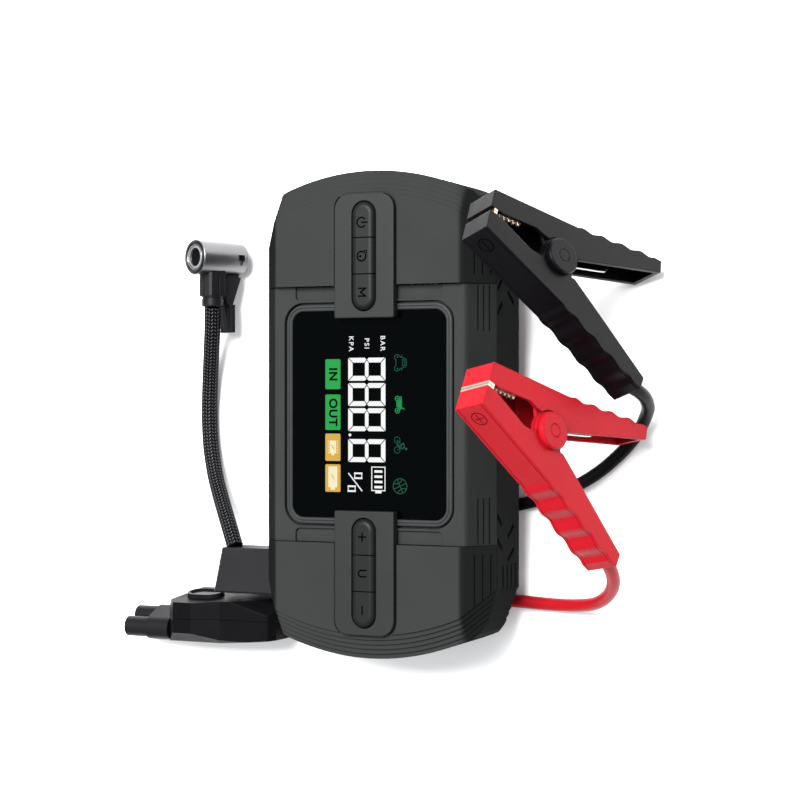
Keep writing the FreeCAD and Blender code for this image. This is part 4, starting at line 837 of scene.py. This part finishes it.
CLAMPS = {
    "black": Matrix.Translation((-59.4 * MM, 80.8 * MM, 58.8 * MM)) @ turn(46, 46, -56),
    "red": Matrix.Translation((7.5 * MM, 80.1 * MM, 68.8 * MM)) @ turn(38, 50, -57),
}
BACK_SLOPE = math.atan2(10.0, 43.0)     # between the nose and the handle, along the back of an arm
WIRE_RADIUS = 0.55 * MM
COIL_TURNS, COIL_RADIUS, COIL_HALF = 5.5, 3.0, 2.9
COIL_START = math.radians(-62)


def wire_piece(name, points, body, stance):
    """A length of spring wire through the points, which are millimetres in the clamp's own frame."""
    verts, faces = sweep([Vector(p) * MM for p in points], lambda index, angle: WIRE_RADIUS, 10)
    return mesh_piece(name, verts, faces, MATERIALS["spring"], body, smooth=True, transform=stance)


def make_springs():
    """Wound torsion springs: the coil and one leg stay with the lower arm, the other leg moves."""
    half = COIL_HALF
    steps = int(COIL_TURNS * 24)
    coil = []
    for index in range(steps + 1):
        share = index / steps
        angle = COIL_START + share * COIL_TURNS * 2 * math.pi
        coil.append((COIL_RADIUS * math.cos(angle), COIL_RADIUS * math.sin(angle), half - 2 * half * share))
    lower_leg = [(34.0, -22.6, half + 0.2), (30.0, -20.2, half + 0.1), (12.0, -10.0, half), (4.0, -5.0, half)]
    far = -half - 0.5
    upper_leg = [(0.0, 3.0, -half - 0.3), (3.0, 4.4, far), (12.0, 8.6, far), (28.0, 16.6, far),
                 (31.0, 18.2, far), (33.5, 22.0, far)]
    for colour, stance in CLAMPS.items():
        lower = wire_piece(f"{colour}_spring_coil", lower_leg + coil, "housing", stance)
        wire_piece(f"{colour}_spring_leg", upper_leg, f"{colour}_upper", stance)
        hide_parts(f"{colour}_spring")


NOSE_X, NOSE_BACK_Y = -37.0, -9.3       # where the sloping back of a lower arm starts
MARK_X = -30.5


def make_clamp_marks():
    """A plus or a minus in a ring, on the back of each lower arm near its nose."""
    along = Vector((math.cos(BACK_SLOPE), -math.sin(BACK_SLOPE), 0))
    outward = Vector((-math.sin(BACK_SLOPE), -math.cos(BACK_SLOPE), 0))
    across = outward.cross(along)
    place = Vector((MARK_X, NOSE_BACK_Y - (MARK_X - NOSE_X) * math.tan(BACK_SLOPE), 0)) * MM
    on_back = Matrix.Translation(place) @ Matrix((along, across, outward)).transposed().to_4x4()
    for colour, stance in CLAMPS.items():
        drawing = Drawing()
        drawing.arc(0, 0, 3.1, 0.35)
        drawing.line(0.35, (-2.2, 0), (2.2, 0))
        if colour == "red":
            drawing.line(0.35, (0, -2.2), (0, 2.2))
        ink = INK["red_mark"] if colour == "red" else INK["symbol"]
        drawing.piece(f"{colour}_clamp_mark", ink, "housing", f"clamp_{colour}", -0.02, 0.08,
                      stance @ on_back)


# ---------------------------------------------------------------- fittings on the hose and leads

CHUCK = Matrix.Translation((-69.8 * MM, -92.3 * MM, 15.7 * MM)) @ Matrix.Rotation(math.radians(25), 4, "X")


TURNED_SIDES = 48
# profiles of (radius, height): the chuck's from the barrel's middle, the boot's from the module
MOUTH_FACE = [(5.65, 12.5), (7.2, 12.5), (7.25, 12.66), (5.65, 12.66)]
MOUTH_RIM = [(7.2, 12.5), (7.6, 12.3), (7.64, 12.42), (7.26, 12.68)]
MOUTH_WASHER = [(4.12, 11.5), (4.9, 11.5), (4.9, 12.2), (4.7, 12.4), (4.3, 12.4), (4.12, 12.2)]
MOUTH_COLLAR = [(5.0, 11.5), (5.55, 11.5), (5.55, 12.5), (5.45, 12.6), (5.1, 12.6), (5.0, 12.5)]
LEAD_BOOT = [
    (2.8, 0.0), (4.3, 0.0), (4.2, 1.2), (3.7, 1.6), (3.9, 2.4), (3.5, 3.0), (3.6, 4.0), (3.2, 4.6),
    (3.3, 5.6), (3.0, 6.4), (2.8, 6.4),
]


def turned_piece(name, profile, material, transform):
    """A closed ring turned round the local Z axis from a profile of (radius, height) in millimetres."""
    verts, faces = [], []
    count = len(profile)
    for step in range(TURNED_SIDES):
        angle = 2 * math.pi * step / TURNED_SIDES
        for radius, height in profile:
            verts.append((radius * math.cos(angle) * MM, radius * math.sin(angle) * MM, height * MM))
    for step in range(TURNED_SIDES):
        here, after = step * count, (step + 1) % TURNED_SIDES * count
        for index in range(count):
            follow = (index + 1) % count
            faces.append((here + index, after + index, after + follow, here + follow))
    return mesh_piece(name, verts, faces, material, "housing", smooth=True, transform=transform)


def make_fittings():
    """The rings in the chuck's mouth, and a ribbed boot where each lead enters the module."""
    turned_piece("chuck_mouth_face", MOUTH_FACE, MATERIALS["mouth_face"], CHUCK)
    turned_piece("chuck_mouth_rim", MOUTH_RIM, MATERIALS["soft_black"], CHUCK)
    turned_piece("chuck_mouth_washer", MOUTH_WASHER, INK["grey"], CHUCK)
    turned_piece("chuck_mouth_collar", MOUTH_COLLAR, MATERIALS["spring"], CHUCK)
    for colour, route in LEAD_ROUTES.items():
        end, before = Vector(route[-1]), Vector(route[-2])
        away = (before - end).normalized()
        place = Matrix.Translation(end * MM) @ away.to_track_quat("Z", "Y").to_matrix().to_4x4()
        turned_piece(f"{colour}_lead_boot", LEAD_BOOT, MATERIALS["soft_black"], place)


make_camera()
make_studio()
dress_nodes()
make_hose()
make_leads()
make_display()
make_symbols()
make_springs()
make_clamp_marks()
make_fittings()
